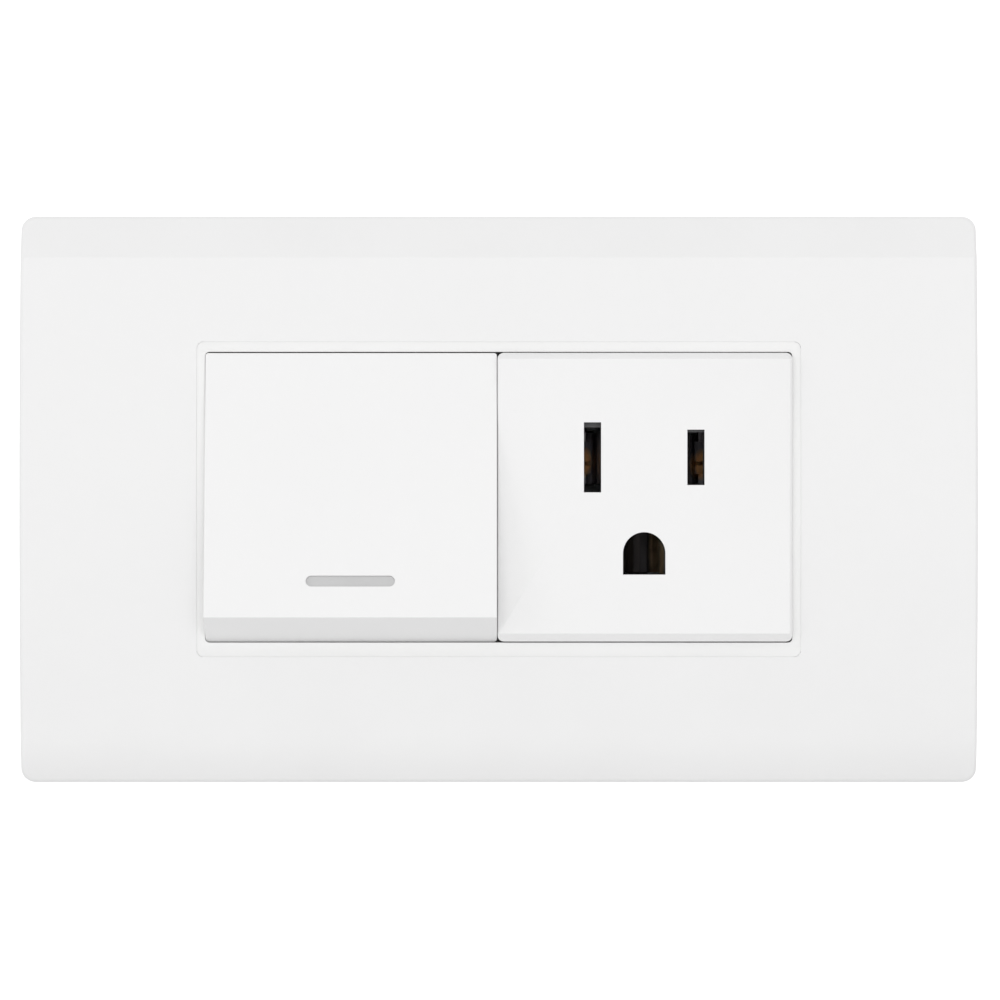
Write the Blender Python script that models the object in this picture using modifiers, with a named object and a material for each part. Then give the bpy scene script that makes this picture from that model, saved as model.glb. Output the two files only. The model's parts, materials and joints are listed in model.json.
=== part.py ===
"""Wall plate with a wide rocker switch and a grounded three-slot outlet, side by side.

Metres, +Z up, +X to the right as seen from the room. The wall surface is the plane Y = 0, the
front of the plate faces -Y and the two housings reach back into the wall box, towards +Y.
The word height means a distance in front of the wall, so a height h lies at Y = -h.
"""
import math

import bmesh
import bpy
from mathutils import Matrix, Vector

# Cover plate
PLATE_WIDTH = 0.1180
PLATE_LENGTH_Z = 0.0700
PLATE_HEIGHT = 0.0090
PLATE_WALL = 0.0018
PLATE_CORNER = 0.0017
PLATE_EDGE = 0.0005
CROWN_RADIUS = 0.2850
TOP_BAND = 0.0052
TOP_BAND_SLOPE = 0.26
BOTTOM_ROLL = 0.0050
BOTTOM_ROLL_DROP = 0.0013
CROWN_STEP = 0.0025
COVER_RIB = 0.0010
COVER_RIB_DEPTH = 0.0014
COVER_RIB_INSETS = (0.0025, 0.0065)
PRY_NOTCH_WIDTH = 0.0080
PRY_NOTCH_DEPTH = 0.0014

# Aperture that the two modules fill
APERTURE_WIDTH = 0.0723
APERTURE_LENGTH_Z = 0.0358
APERTURE_RISE = 0.00025
APERTURE_CORNER = 0.0005
MODULE_SPLIT_X = -0.00025

# Mounting frame
COLLAR_HEIGHT = 0.0087
COLLAR_BORDER_X = 0.001025
COLLAR_BORDER_Z = 0.0015
COLLAR_CORNER = 0.0008
FRAME_INSET_X = 0.0045
FRAME_INSET_Z = 0.0049
FRAME_CORNER = 0.0030
FRAME_BASE = 0.0025
FRAME_SKIRT = 0.0014
FRAME_SKIRT_HEIGHT = 0.0046
FRAME_RIB = 0.0012
FRAME_RIB_X = (0.0120, 0.0235)
LEDGE = 0.0011
MIDDLE_BAR = 0.0005
SCREW_OUTSET = 0.0056
SCREW_SLOT_LENGTH = 0.0085
SCREW_SLOT_WIDTH = 0.0044

# Snap hooks of the cover in the frame's skirt
HOOK_X = 0.0300
HOOK_WIDTH = 0.0070
HOOK_WALL = 0.0012
HOOK_NOSE = 0.0009
HOOK_NOSE_LOW = 0.0010
HOOK_NOSE_HIGH = 0.0022

# Mounting screws
MOUNT_SCREW_RADIUS = 0.0018
MOUNT_SCREW_HEAD_RADIUS = 0.0036
MOUNT_SCREW_HEAD = 0.0024
MOUNT_SCREW_LENGTH = 0.0220
RECESS_WIDTH = 0.0009
RECESS_SPAN = 0.0034
RECESS_DEPTH = 0.0011

# Rocker key, at rest with its lower edge standing proud
KEY_TOP_HEIGHT = 0.0086
KEY_PROUD_HEIGHT = 0.0132
KEY_STRIP = 0.0030
KEY_STRIP_HEIGHT = 0.0088
KEY_WALL = 0.0015
KEY_SKIRT_HEIGHT = 0.0061
KEY_EDGE = 0.00035
KEY_RIB = 0.0010
PIVOT_HEIGHT = 0.0065
ROCKER_TRAVEL_DEG = 9.0
INDICATOR_LENGTH = 0.0110
INDICATOR_WIDTH = 0.0014
INDICATOR_RISE = 0.0074
INDICATOR_RECESS = 0.0003
INDICATOR_FLANGE = 0.0008
INDICATOR_FLANGE_THICK = 0.0010
INDICATOR_FIT = 0.0001

# Key carrier, its spring and its plunger
SADDLE_INSIDE_EAR = 0.0026
SADDLE_HALF_LENGTH = 0.0080
SADDLE_BACK = 0.0004
TRUNNION_RADIUS = 0.0013
TRUNNION_BEYOND_EAR = 0.0016
TUBE_RADIUS = 0.0027
TUBE_BORE = 0.0018
TUBE_FLOOR = 0.0012
TUBE_REACH = 0.0085
PLUNGER_BODY_RADIUS = 0.0015
PLUNGER_BODY_START = 0.0056
PLUNGER_NOSE_RADIUS = 0.0011
PLUNGER_REACH = 0.0120
SPRING_WIRE = 0.00018
SPRING_RADIUS = 0.0012
SPRING_TURNS = 5
SPRING_POINTS_PER_TURN = 12

# Switch yoke and housing
FLANGE_HEIGHT = 0.0044
EAR_INSET = 0.00435
EAR_THICK = 0.0020
EAR_HALF_LENGTH = 0.0030
EAR_HEIGHT = 0.0083
YOKE_HATCH_HALF_WIDTH = 0.0060
YOKE_HATCH_HALF_LENGTH = 0.0055
YOKE_LEG_INSIDE_EAR = 0.0016
YOKE_LEG_WIDTH = 0.0050
YOKE_LEG_THICK = 0.0012
YOKE_LEG_DEPTH = 0.0070
HOUSING_BACK = 0.0220
HOUSING_WALL = 0.0016
HOUSING_SIDE_GAP = 0.0004
CHAMBER_BACK = 0.0118
NOSE_WIDTH = 0.0090
NOSE_RISE = 0.0008
NOSE_LENGTH = 0.0028

# See-saw contact
SEESAW_WIDTH = 0.0040
SEESAW_HALF_LENGTH = 0.0064
SEESAW_THICK = 0.0008
SEESAW_TRAVEL_DEG = 14.0
RIVET_RADIUS = 0.0014
RIVET_HEIGHT = 0.0006
RIVET_OFFSET_Z = 0.0048
KNIFE_HALF_ANGLE_DEG = 28.0
KNIFE_LENGTH = 0.0026

# Terminals, all of one pattern
STRIP = 0.0008
TONGUE_Y = 0.0158
TONGUE_REACH = 0.0036
POCKET_CLAMP = 0.0068
CLAMP_SIZE = 0.0061
CLAMP_THICK = 0.0010
CLAMP_Y = 0.0188
TERMINAL_SCREW_RADIUS = 0.0015
TERMINAL_HEAD_RADIUS = 0.0030
TERMINAL_HEAD = 0.0018
TERMINAL_SCREW_LENGTH = 0.0066
TERMINAL_HOLE_RADIUS = 0.0018
WELL_RADIUS = 0.0033
WIRE_HOLE_RADIUS = 0.0017
WIRE_HOLE_OFFSET = 0.0056
SWITCH_SCREW_INSET = 0.00815
SWITCH_LEG_X = 0.0052
LOAD_RISE = 0.0060
SWITCH_STRIP_LENGTH_Z = 0.0048

# Outlet face and its openings
FACE_HEIGHT = 0.0097
FACE_WALL = 0.0020
FACE_CHAMFER = 0.0009
FACE_SIDE_EDGE = 0.0004
FACE_CORNER = 0.0008
SLOT_SPACING = 0.0127
SLOT_WIDTH = 0.0021
NEUTRAL_SLOT_LENGTH = 0.0086
LIVE_SLOT_LENGTH = 0.0068
SLOT_RISE = 0.0049
EARTH_HOLE_RADIUS = 0.0026
EARTH_DROP = 0.0118
GUIDE_WALL = 0.0010
GUIDE_BACK_HEIGHT = 0.0050
STEP_HEIGHT = 0.0082
NEUTRAL_STEP = 0.0006
LIVE_STEP = 0.0003

# Outlet contacts
BLADE_GAP = 0.0014
BLADE_LEAF_HALF_LENGTH = 0.0032
FINGER_SLIT = 0.0005
FINGER_DROP = 0.0007
LIP_HALF_LENGTH = 0.0020
LEAF_TOUCH = 0.00015
LEAF_FRONT_HEIGHT = 0.0044
LIP_FLARE = 0.0007
LIP_LENGTH = 0.0016
CLIP_BACK = 0.0090
EARTH_GAP = 0.0044
EARTH_LEAF_HALF_LENGTH = 0.0026
OUTLET_SCREW_INSET = 0.007375
EARTH_SCREW_X = 0.0046
PARTITION = 0.0012
CORE_WIDTH = 0.0060
CORE_LENGTH_Z = 0.0060

# Clearances
GAP = 0.0003
SIDE_GAP = 0.00025
RUNNING = 0.0002
OVERLAP = 0.0003
THROUGH = 0.0010
ROUND_STEPS = 16

# Places that follow from the sizes above
HALF_PLATE_X = PLATE_WIDTH / 2
HALF_PLATE_Z = PLATE_LENGTH_Z / 2
FRAME_WIDTH = PLATE_WIDTH - 2 * FRAME_INSET_X
FRAME_LENGTH_Z = PLATE_LENGTH_Z - 2 * FRAME_INSET_Z
COLLAR_WIDTH = APERTURE_WIDTH + 2 * COLLAR_BORDER_X
COLLAR_LENGTH_Z = APERTURE_LENGTH_Z + 2 * COLLAR_BORDER_Z
SCREW_PITCH = APERTURE_WIDTH + 2 * SCREW_OUTSET
MIDDLE_Z = APERTURE_RISE
APERTURE_LEFT = -APERTURE_WIDTH / 2
APERTURE_RIGHT = APERTURE_WIDTH / 2
APERTURE_TOP = MIDDLE_Z + APERTURE_LENGTH_Z / 2
APERTURE_BOTTOM = MIDDLE_Z - APERTURE_LENGTH_Z / 2
KEY_LEFT = APERTURE_LEFT + SIDE_GAP
KEY_RIGHT = MODULE_SPLIT_X - GAP / 2
KEY_X = (KEY_LEFT + KEY_RIGHT) / 2
FACE_LEFT = MODULE_SPLIT_X + GAP / 2
FACE_RIGHT = APERTURE_RIGHT - GAP
FACE_X = (FACE_LEFT + FACE_RIGHT) / 2
MODULE_TOP = APERTURE_TOP - SIDE_GAP
MODULE_BOTTOM = APERTURE_BOTTOM + SIDE_GAP
INDICATOR_Z = MODULE_BOTTOM + INDICATOR_RISE
EAR_X = (KEY_RIGHT - KEY_LEFT) / 2 - EAR_INSET
TRUNNION_HALF_LENGTH = EAR_X + TRUNNION_BEYOND_EAR
SADDLE_HALF_WIDTH = EAR_X - SADDLE_INSIDE_EAR
YOKE_LEG_X = EAR_X - YOKE_LEG_INSIDE_EAR
SWITCH_SCREW_X = (KEY_RIGHT - KEY_LEFT) / 2 - SWITCH_SCREW_INSET
OUTLET_SCREW_X = (FACE_RIGHT - FACE_LEFT) / 2 - OUTLET_SCREW_INSET
LEDGE_TOP = APERTURE_TOP - LEDGE
LEDGE_BOTTOM = APERTURE_BOTTOM + LEDGE
HOUSING_TOP = LEDGE_TOP - GAP
HOUSING_BOTTOM = LEDGE_BOTTOM + GAP
REST_TILT = math.radians(ROCKER_TRAVEL_DEG / 2)
SEESAW_TILT = math.radians(SEESAW_TRAVEL_DEG / 2)
PIVOT = Vector((KEY_X, -PIVOT_HEIGHT, MIDDLE_Z))
SEESAW_FRONT = PLUNGER_REACH - PIVOT_HEIGHT + RUNNING
SEESAW_AXIS = Vector((KEY_X, SEESAW_FRONT + SEESAW_THICK, MIDDLE_Z))
SLOT_Z = MIDDLE_Z + SLOT_RISE
EARTH_Z = SLOT_Z - EARTH_DROP


# Scene and materials

def clear_scene():
    for obj in list(bpy.data.objects):
        bpy.data.objects.remove(obj, do_unlink=True)


def new_collection(name):
    collection = bpy.data.collections.new(name)
    bpy.context.scene.collection.children.link(collection)
    return collection


def plastic(name, colour, roughness):
    return new_material(name, colour, roughness, 0.0)


def new_material(name, colour, roughness, metallic):
    material = bpy.data.materials.new(name)
    material.use_nodes = True
    shader = material.node_tree.nodes["Principled BSDF"]
    shader.inputs["Base Color"].default_value = (*colour, 1.0)
    shader.inputs["Roughness"].default_value = roughness
    shader.inputs["Metallic"].default_value = metallic
    material.diffuse_color = (*colour, 1.0)
    return material


clear_scene()
PARTS = new_collection("switch_and_outlet_plate")
TOOLS = new_collection("shaping_tools")
WHITE_ABS = plastic("white_abs", (0.87, 0.87, 0.86), 0.32)
FRAME_WHITE = plastic("frame_white", (0.84, 0.84, 0.83), 0.42)
GREY_LENS = plastic("grey_lens", (0.58, 0.59, 0.58), 0.35)
BODY_GREY = plastic("body_grey", (0.66, 0.67, 0.68), 0.55)
ACETAL = plastic("acetal", (0.80, 0.80, 0.78), 0.40)
BRASS = new_material("brass", (0.72, 0.50, 0.22), 0.35, 1.0)
COPPER = new_material("copper", (0.76, 0.42, 0.28), 0.35, 1.0)
SILVER = new_material("silver", (0.80, 0.80, 0.78), 0.25, 1.0)
ZINC_STEEL = new_material("zinc_steel", (0.66, 0.67, 0.68), 0.35, 1.0)


# Basic shapes

def add_object(name, bm, material=None):
    mesh = bpy.data.meshes.new(name)
    bm.to_mesh(mesh)
    bm.free()
    obj = bpy.data.objects.new(name, mesh)
    if material is None:
        TOOLS.objects.link(obj)
        obj.hide_render = True
        obj.display_type = "WIRE"
    else:
        PARTS.objects.link(obj)
        obj.data.materials.append(material)
    return obj


def block(x, y, z):
    """A box between the low and high value of each pair."""
    bm = bmesh.new()
    bmesh.ops.create_cube(bm, size=1.0)
    spans = (x, y, z)
    bmesh.ops.scale(bm, vec=Vector([high - low for low, high in spans]), verts=bm.verts)
    bmesh.ops.translate(bm, vec=Vector([(high + low) / 2 for low, high in spans]), verts=bm.verts)
    return bm


def prism(outline, axis, low, high):
    """A flat outline in the two other axes, extruded along one axis."""
    place = {"X": lambda u, v: (low, u, v), "Y": lambda u, v: (u, low, v), "Z": lambda u, v: (u, v, low)}
    step = {"X": Vector((1, 0, 0)), "Y": Vector((0, 1, 0)), "Z": Vector((0, 0, 1))}[axis]
    bm = bmesh.new()
    face = bm.faces.new([bm.verts.new(place[axis](u, v)) for u, v in outline])
    grown = bmesh.ops.extrude_face_region(bm, geom=[face])["geom"]
    moved = [item for item in grown if isinstance(item, bmesh.types.BMVert)]
    bmesh.ops.translate(bm, vec=step * (high - low), verts=moved)
    bmesh.ops.recalc_face_normals(bm, faces=bm.faces)
    if bm.calc_volume(signed=True) < 0:
        bmesh.ops.reverse_faces(bm, faces=bm.faces)
    return bm


def rod(axis, centre, radius, low, high, steps=ROUND_STEPS):
    """A cylinder along one axis, through the two other coordinates of its centre."""
    bm = bmesh.new()
    bmesh.ops.create_cone(
        bm, cap_ends=True, segments=steps, radius1=radius, radius2=radius, depth=high - low)
    middle = (low + high) / 2
    turn = {"X": Matrix.Rotation(math.pi / 2, 3, "Y"),
            "Y": Matrix.Rotation(math.pi / 2, 3, "X"),
            "Z": Matrix.Identity(3)}[axis]
    bmesh.ops.rotate(bm, matrix=turn, verts=bm.verts)
    u, v = centre
    place = {"X": (middle, u, v), "Y": (u, middle, v), "Z": (u, v, middle)}[axis]
    bmesh.ops.translate(bm, vec=Vector(place), verts=bm.verts)
    return bm


def turned(name, profile, origin, tilt, material, steps=ROUND_STEPS):
    """A profile of (radius, distance) spun about a line that runs along +Y, tilted about X.

    The distances run from the far end of the line to its start.
    """
    mesh = bpy.data.meshes.new(name)
    edges = [(i, i + 1) for i in range(len(profile) - 1)]
    mesh.from_pydata([(radius, 0, along) for radius, along in profile], edges, [])
    obj = bpy.data.objects.new(name, mesh)
    PARTS.objects.link(obj)
    mesh.materials.append(material)
    obj.location = origin
    obj.rotation_euler = (tilt - math.pi / 2, 0, 0)
    spin = obj.modifiers.new("spin", "SCREW")
    spin.axis = "Z"
    spin.steps = steps
    spin.render_steps = steps
    spin.use_merge_vertices = True
    spin.merge_threshold = 0.00001
    spin.use_smooth_shade = True
    return obj


# Outlines

def arc(centre, radius, start_deg, end_deg, steps):
    """Points of an arc in the plane of an outline, both ends included."""
    points = []
    for i in range(steps + 1):
        angle = math.radians(start_deg + (end_deg - start_deg) * i / steps)
        points.append((centre[0] + radius * math.cos(angle), centre[1] + radius * math.sin(angle)))
    return points


def rounded_rectangle(u, v, radius, steps=3):
    (u0, u1), (v0, v1) = u, v
    r = radius
    return (arc((u1 - r, v1 - r), r, 0, 90, steps) + arc((u0 + r, v1 - r), r, 90, 180, steps)
            + arc((u0 + r, v0 + r), r, 180, 270, steps) + arc((u1 - r, v0 + r), r, 270, 360, steps))


def stadium(u, v, length, width, steps=8):
    """A slot with round ends, long along its first axis."""
    half = (length - width) / 2
    return (arc((u + half, v), width / 2, -90, 90, steps)
            + arc((u - half, v), width / 2, 90, 270, steps))


def earth_outline(radius, steps=12):
    """The grounding hole: round above, square below."""
    return (arc((FACE_X, EARTH_Z), radius, 0, 180, steps)
            + [(FACE_X - radius, EARTH_Z - radius), (FACE_X + radius, EARTH_Z - radius)])


def cross_outline(u, v, span, width):
    """A cross recess with square arms."""
    s, w = span / 2, width / 2
    quarter = [(s, -w), (s, w), (w, w)]
    points = []
    for turn in range(4):
        c, n = round(math.cos(turn * math.pi / 2)), round(math.sin(turn * math.pi / 2))
        points += [(u + a * c - b * n, v + a * n + b * c) for a, b in quarter]
    return points


def strip_outline(path, thickness):
    """The outline of a bent strip of sheet whose centre line is the path."""
    sides = ([], [])
    for i, point in enumerate(path):
        here = Vector(point)
        before = (here - Vector(path[i - 1])).normalized() if i else None
        after = (Vector(path[i + 1]) - here).normalized() if i < len(path) - 1 else None
        before = before or after
        after = after or before
        normal = Vector((-(before + after).y, (before + after).x)).normalized()
        square = Vector((-after.y, after.x))
        reach = thickness / 2 / normal.dot(square)
        sides[0].append(tuple(here + normal * reach))
        sides[1].append(tuple(here - normal * reach))
    return sides[0] + sides[1][::-1]


def inset_outline(points, distance):
    """A convex outline moved inwards by one distance on every side."""
    count = len(points)
    area = sum(points[i - 1][0] * points[i][1] - points[i][0] * points[i - 1][1] for i in range(count))
    way = 1 if area > 0 else -1
    moved = []
    for i, point in enumerate(points):
        here = Vector(point)
        before = (here - Vector(points[i - 1])).normalized()
        after = (Vector(points[(i + 1) % count]) - here).normalized()
        normal = Vector((-(before + after).y, (before + after).x)).normalized() * way
        square = Vector((-after.y, after.x)) * way
        moved.append(tuple(here + normal * distance / normal.dot(square)))
    return moved


# Shaping

def shape(obj, operation, *solids):
    """Join solids to an object, or cut them out of it, one after the other."""
    for solid in solids:
        tool = add_object(f"{obj.name}_tool_{len(obj.modifiers)}", solid)
        modifier = obj.modifiers.new(tool.name, "BOOLEAN")
        modifier.operation = operation
        modifier.solver = "EXACT"
        modifier.object = tool
    return obj


def cut(obj, *solids):
    return shape(obj, "DIFFERENCE", *solids)


def join(obj, *solids):
    return shape(obj, "UNION", *solids)


def bevel_edges(bm, edges, width, segments):
    bmesh.ops.bevel(
        bm, geom=edges, offset=width, segments=segments, profile=0.5, affect="EDGES", clamp_overlap=True)


def edges_along(bm, axis, test=lambda middle: True):
    """Edges that run along one axis and whose middle passes a test."""
    index = "XYZ".index(axis)
    found = []
    for edge in bm.edges:
        run = (edge.verts[1].co - edge.verts[0].co).normalized()
        middle = (edge.verts[0].co + edge.verts[1].co) / 2
        if abs(run[index]) > 0.99 and test(middle):
            found.append(edge)
    return found


def sharp_edges(bm, least_deg, test):
    return [edge for edge in bm.edges
            if len(edge.link_faces) == 2 and edge.calc_face_angle() > math.radians(least_deg)
            and test((edge.verts[0].co + edge.verts[1].co) / 2)]


def smooth(obj, angle_deg=30):
    obj.data.shade_smooth()
    obj.data.set_sharp_from_angle(angle=math.radians(angle_deg))
    return obj


def hang_on(obj, axis_point):
    """Put an object's origin on its joint's axis, with its mesh where it was."""
    obj.data.transform(Matrix.Translation(-axis_point))
    obj.location = axis_point
    for modifier in obj.modifiers:
        if modifier.type == "BOOLEAN":
            modifier.object.data.transform(Matrix.Translation(-axis_point))
            modifier.object.location = axis_point
    return obj


# Cover plate

def crown_height(z):
    """Height of the plate's front: a shallow arch, a sloped band above, a soft roll below."""
    height = PLATE_HEIGHT - z * z / (2 * CROWN_RADIUS)
    band_start = HALF_PLATE_Z - TOP_BAND
    roll_start = BOTTOM_ROLL - HALF_PLATE_Z
    if z > band_start:
        height -= (z - band_start) * TOP_BAND_SLOPE
    if z < roll_start:
        height -= BOTTOM_ROLL_DROP * ((roll_start - z) / BOTTOM_ROLL) ** 2
    return height


def crown_outline(half_z, drop, back):
    """Section of the plate: the crown lowered by a drop, closed by a straight back."""
    steps = round(2 * half_z / CROWN_STEP)
    levels = [half_z - 2 * half_z * i / steps for i in range(steps + 1)]
    band_start = HALF_PLATE_Z - TOP_BAND
    if band_start < half_z:
        nearest = min(range(1, steps), key=lambda i: abs(levels[i] - band_start))
        levels[nearest] = band_start
    front = [(-(crown_height(z) - drop), z) for z in levels]
    return [(back, half_z)] + front + [(back, -half_z)]


def make_cover_plate():
    bm = prism(crown_outline(HALF_PLATE_Z, 0, 0), "X", -HALF_PLATE_X, HALF_PLATE_X)
    corners = edges_along(bm, "Y", lambda m: abs(m.x) > HALF_PLATE_X - GAP)
    bevel_edges(bm, corners, PLATE_CORNER, 4)
    front_rim = sharp_edges(bm, 40, lambda m: m.y < -PLATE_EDGE * 2)
    bevel_edges(bm, front_rim, PLATE_EDGE, 2)
    plate = add_object("cover_plate", bm, WHITE_ABS)
    inner_x = HALF_PLATE_X - PLATE_WALL
    inner_z = HALF_PLATE_Z - PLATE_WALL
    cut(plate, prism(crown_outline(inner_z, PLATE_WALL, THROUGH), "X", -inner_x, inner_x))
    window = rounded_rectangle(
        (-COLLAR_WIDTH / 2 - GAP, COLLAR_WIDTH / 2 + GAP),
        (-COLLAR_LENGTH_Z / 2 - GAP, COLLAR_LENGTH_Z / 2 + GAP), COLLAR_CORNER)
    for inset in COVER_RIB_INSETS:
        x = FRAME_WIDTH / 2 - FRAME_SKIRT - inset
        for side in (-1, 1):
            join(plate, cover_rib(side * x))
    for x in (-HOOK_X, HOOK_X):
        for side in (-1, 1):
            join(plate, cover_hook(x, side))
    cut(plate, prism(window, "Y", -PLATE_HEIGHT - THROUGH, -PLATE_HEIGHT / 3))
    notch_z = -HALF_PLATE_Z
    cut(plate, block((-PRY_NOTCH_WIDTH / 2, PRY_NOTCH_WIDTH / 2), (-PRY_NOTCH_DEPTH, THROUGH),
                     (notch_z - THROUGH, notch_z + PLATE_WALL + THROUGH)))
    smooth(plate)


def cover_rib(x):
    """A stiffening rib under the crown, between the two long sides of the frame's skirt."""
    half_z = FRAME_LENGTH_Z / 2 - FRAME_SKIRT - GAP
    front = crown_outline(half_z, PLATE_WALL - OVERLAP, 0)[1:-1]
    back = crown_outline(half_z, PLATE_WALL + COVER_RIB_DEPTH, 0)[1:-1]
    return prism(front + back[::-1], "X", x - COVER_RIB / 2, x + COVER_RIB / 2)


def cover_hook(x, side):
    """A snap hook that hangs from the crown outside the frame's skirt, with its nose turned in."""
    inner = FRAME_LENGTH_Z / 2 + GAP
    outer = inner + HOOK_WALL
    nose = inner - HOOK_NOSE
    root_height = crown_height(side * (inner + outer) / 2) - PLATE_WALL + OVERLAP
    outline = [(-root_height, side * inner), (-HOOK_NOSE_HIGH, side * inner), (-HOOK_NOSE_HIGH, side * nose),
               (-HOOK_NOSE_LOW, side * inner), (-HOOK_NOSE_LOW, side * outer), (-root_height, side * outer)]
    return prism(outline, "X", x - HOOK_WIDTH / 2, x + HOOK_WIDTH / 2)


# Mounting frame

def make_mounting_frame():
    half_x = FRAME_WIDTH / 2
    half_z = FRAME_LENGTH_Z / 2
    tray = prism(rounded_rectangle((-half_x, half_x), (-half_z, half_z), FRAME_CORNER, 4),
                 "Y", -FRAME_SKIRT_HEIGHT, 0)
    frame = add_object("mounting_frame", tray, FRAME_WHITE)
    pocket = rounded_rectangle(
        (FRAME_SKIRT - half_x, half_x - FRAME_SKIRT), (FRAME_SKIRT - half_z, half_z - FRAME_SKIRT),
        FRAME_CORNER - FRAME_SKIRT, 4)
    cut(frame, prism(pocket, "Y", -FRAME_SKIRT_HEIGHT - THROUGH, -FRAME_BASE))
    collar = rounded_rectangle(
        (-COLLAR_WIDTH / 2, COLLAR_WIDTH / 2), (-COLLAR_LENGTH_Z / 2, COLLAR_LENGTH_Z / 2), COLLAR_CORNER)
    join(frame, prism(collar, "Y", -COLLAR_HEIGHT, -FRAME_BASE + OVERLAP))
    for x in FRAME_RIB_X:
        for across in (-1, 1):
            for side in (-1, 1):
                join(frame, frame_rib(across * x, side))
    aperture = rounded_rectangle(
        (APERTURE_LEFT, APERTURE_RIGHT), (APERTURE_BOTTOM, APERTURE_TOP), APERTURE_CORNER)
    cut(frame, prism(aperture, "Y", -COLLAR_HEIGHT - THROUGH, -FRAME_BASE))
    cut(frame, block((APERTURE_LEFT, APERTURE_RIGHT), (-FRAME_BASE - THROUGH, THROUGH),
                     (LEDGE_BOTTOM, LEDGE_TOP)))
    join(frame, block((MODULE_SPLIT_X - MIDDLE_BAR / 2, MODULE_SPLIT_X + MIDDLE_BAR / 2),
                      (-FRAME_BASE, 0), (LEDGE_BOTTOM - OVERLAP, LEDGE_TOP + OVERLAP)))
    for x in (-SCREW_PITCH / 2, SCREW_PITCH / 2):
        slot = stadium(x, 0, SCREW_SLOT_LENGTH, SCREW_SLOT_WIDTH)
        cut(frame, prism(slot, "Y", -FRAME_BASE - THROUGH, THROUGH))
    for x in (-HOOK_X, HOOK_X):
        for side in (-1, 1):
            cut(frame, block(
                (x - HOOK_WIDTH / 2 - GAP, x + HOOK_WIDTH / 2 + GAP),
                (-HOOK_NOSE_HIGH - GAP, THROUGH),
                tuple(sorted((side * (half_z - HOOK_NOSE - GAP), side * (half_z + THROUGH))))))


def frame_rib(x, side):
    """A gusset between the collar and the skirt."""
    inner = COLLAR_LENGTH_Z / 2 - OVERLAP
    outer = FRAME_LENGTH_Z / 2 - FRAME_SKIRT / 2
    outline = [(-FRAME_BASE + OVERLAP, side * inner), (-COLLAR_HEIGHT + PLATE_WALL + 2 * GAP, side * inner),
               (-FRAME_SKIRT_HEIGHT, side * outer), (-FRAME_BASE + OVERLAP, side * outer)]
    return prism(outline, "X", x - FRAME_RIB / 2, x + FRAME_RIB / 2)


# Screws

def make_screw(name, x, z, seat, head_radius, head, radius, length, facing, material):
    """A pan-head screw: facing -1 shows its head to the room, +1 to the wall box."""
    low = head * 0.35
    profile = [(0, head), (head_radius * 0.55, head * 0.97), (head_radius * 0.88, head * 0.72),
               (head_radius, low), (head_radius, 0), (radius, 0), (radius, -length + radius),
               (radius * 0.45, -length), (0, -length)]
    tilt = 0 if facing > 0 else math.pi
    screw = turned(name, profile, Vector((x, seat, z)), tilt, material)
    top = seat + facing * head
    deep = top - facing * RECESS_DEPTH
    spare = top + facing * THROUGH
    cross = cross_outline(x, z, RECESS_SPAN, RECESS_WIDTH)
    return cut(screw, prism(cross, "Y", min(deep, spare), max(deep, spare)))


def make_mounting_screws():
    for name, x in (("mounting_screw_left", -SCREW_PITCH / 2), ("mounting_screw_right", SCREW_PITCH / 2)):
        make_screw(name, x, 0, -FRAME_BASE - RUNNING, MOUNT_SCREW_HEAD_RADIUS, MOUNT_SCREW_HEAD,
                   MOUNT_SCREW_RADIUS, MOUNT_SCREW_LENGTH, -1, ZINC_STEEL)


def make_terminal(name, x, z):
    """A screw with its square clamp plate, loosened so that a wire fits under the plate."""
    seat = CLAMP_Y + CLAMP_THICK / 2 + RUNNING
    make_screw(f"{name}_terminal_screw", x, z, seat, TERMINAL_HEAD_RADIUS, TERMINAL_HEAD,
               TERMINAL_SCREW_RADIUS, TERMINAL_SCREW_LENGTH, 1, ZINC_STEEL)
    half = CLAMP_SIZE / 2
    bm = block((x - half, x + half), (CLAMP_Y - CLAMP_THICK / 2, CLAMP_Y + CLAMP_THICK / 2),
               (z - half, z + half))
    bevel_edges(bm, edges_along(bm, "Y"), CLAMP_THICK / 2, 1)
    plate = add_object(f"{name}_clamp_plate", bm, ZINC_STEEL)
    cut(plate, rod("Y", (x, z), TERMINAL_HOLE_RADIUS, CLAMP_Y - THROUGH, CLAMP_Y + THROUGH))


# Rocker key and what rides on it

def key_corners():
    """Section of the key, from its top front edge round to its rear top edge, as (y, z)."""
    half = (MODULE_TOP - MODULE_BOTTOM) / 2
    slope = math.tan(REST_TILT)
    return [(-KEY_TOP_HEIGHT, MODULE_TOP), (-KEY_PROUD_HEIGHT, MODULE_BOTTOM + KEY_STRIP),
            (-KEY_STRIP_HEIGHT, MODULE_BOTTOM), (-KEY_SKIRT_HEIGHT - half * slope, MODULE_BOTTOM),
            (-KEY_SKIRT_HEIGHT + half * slope, MODULE_TOP)]


def face_height(z):
    """Height of the key's sloped front face at a level."""
    top, bottom = key_corners()[:2]
    share = (top[1] - z) / (top[1] - bottom[1])
    return -(top[0] + share * (bottom[0] - top[0]))


def face_tilt():
    top, bottom = key_corners()[:2]
    return math.atan2(top[0] - bottom[0], top[1] - bottom[1])


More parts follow.
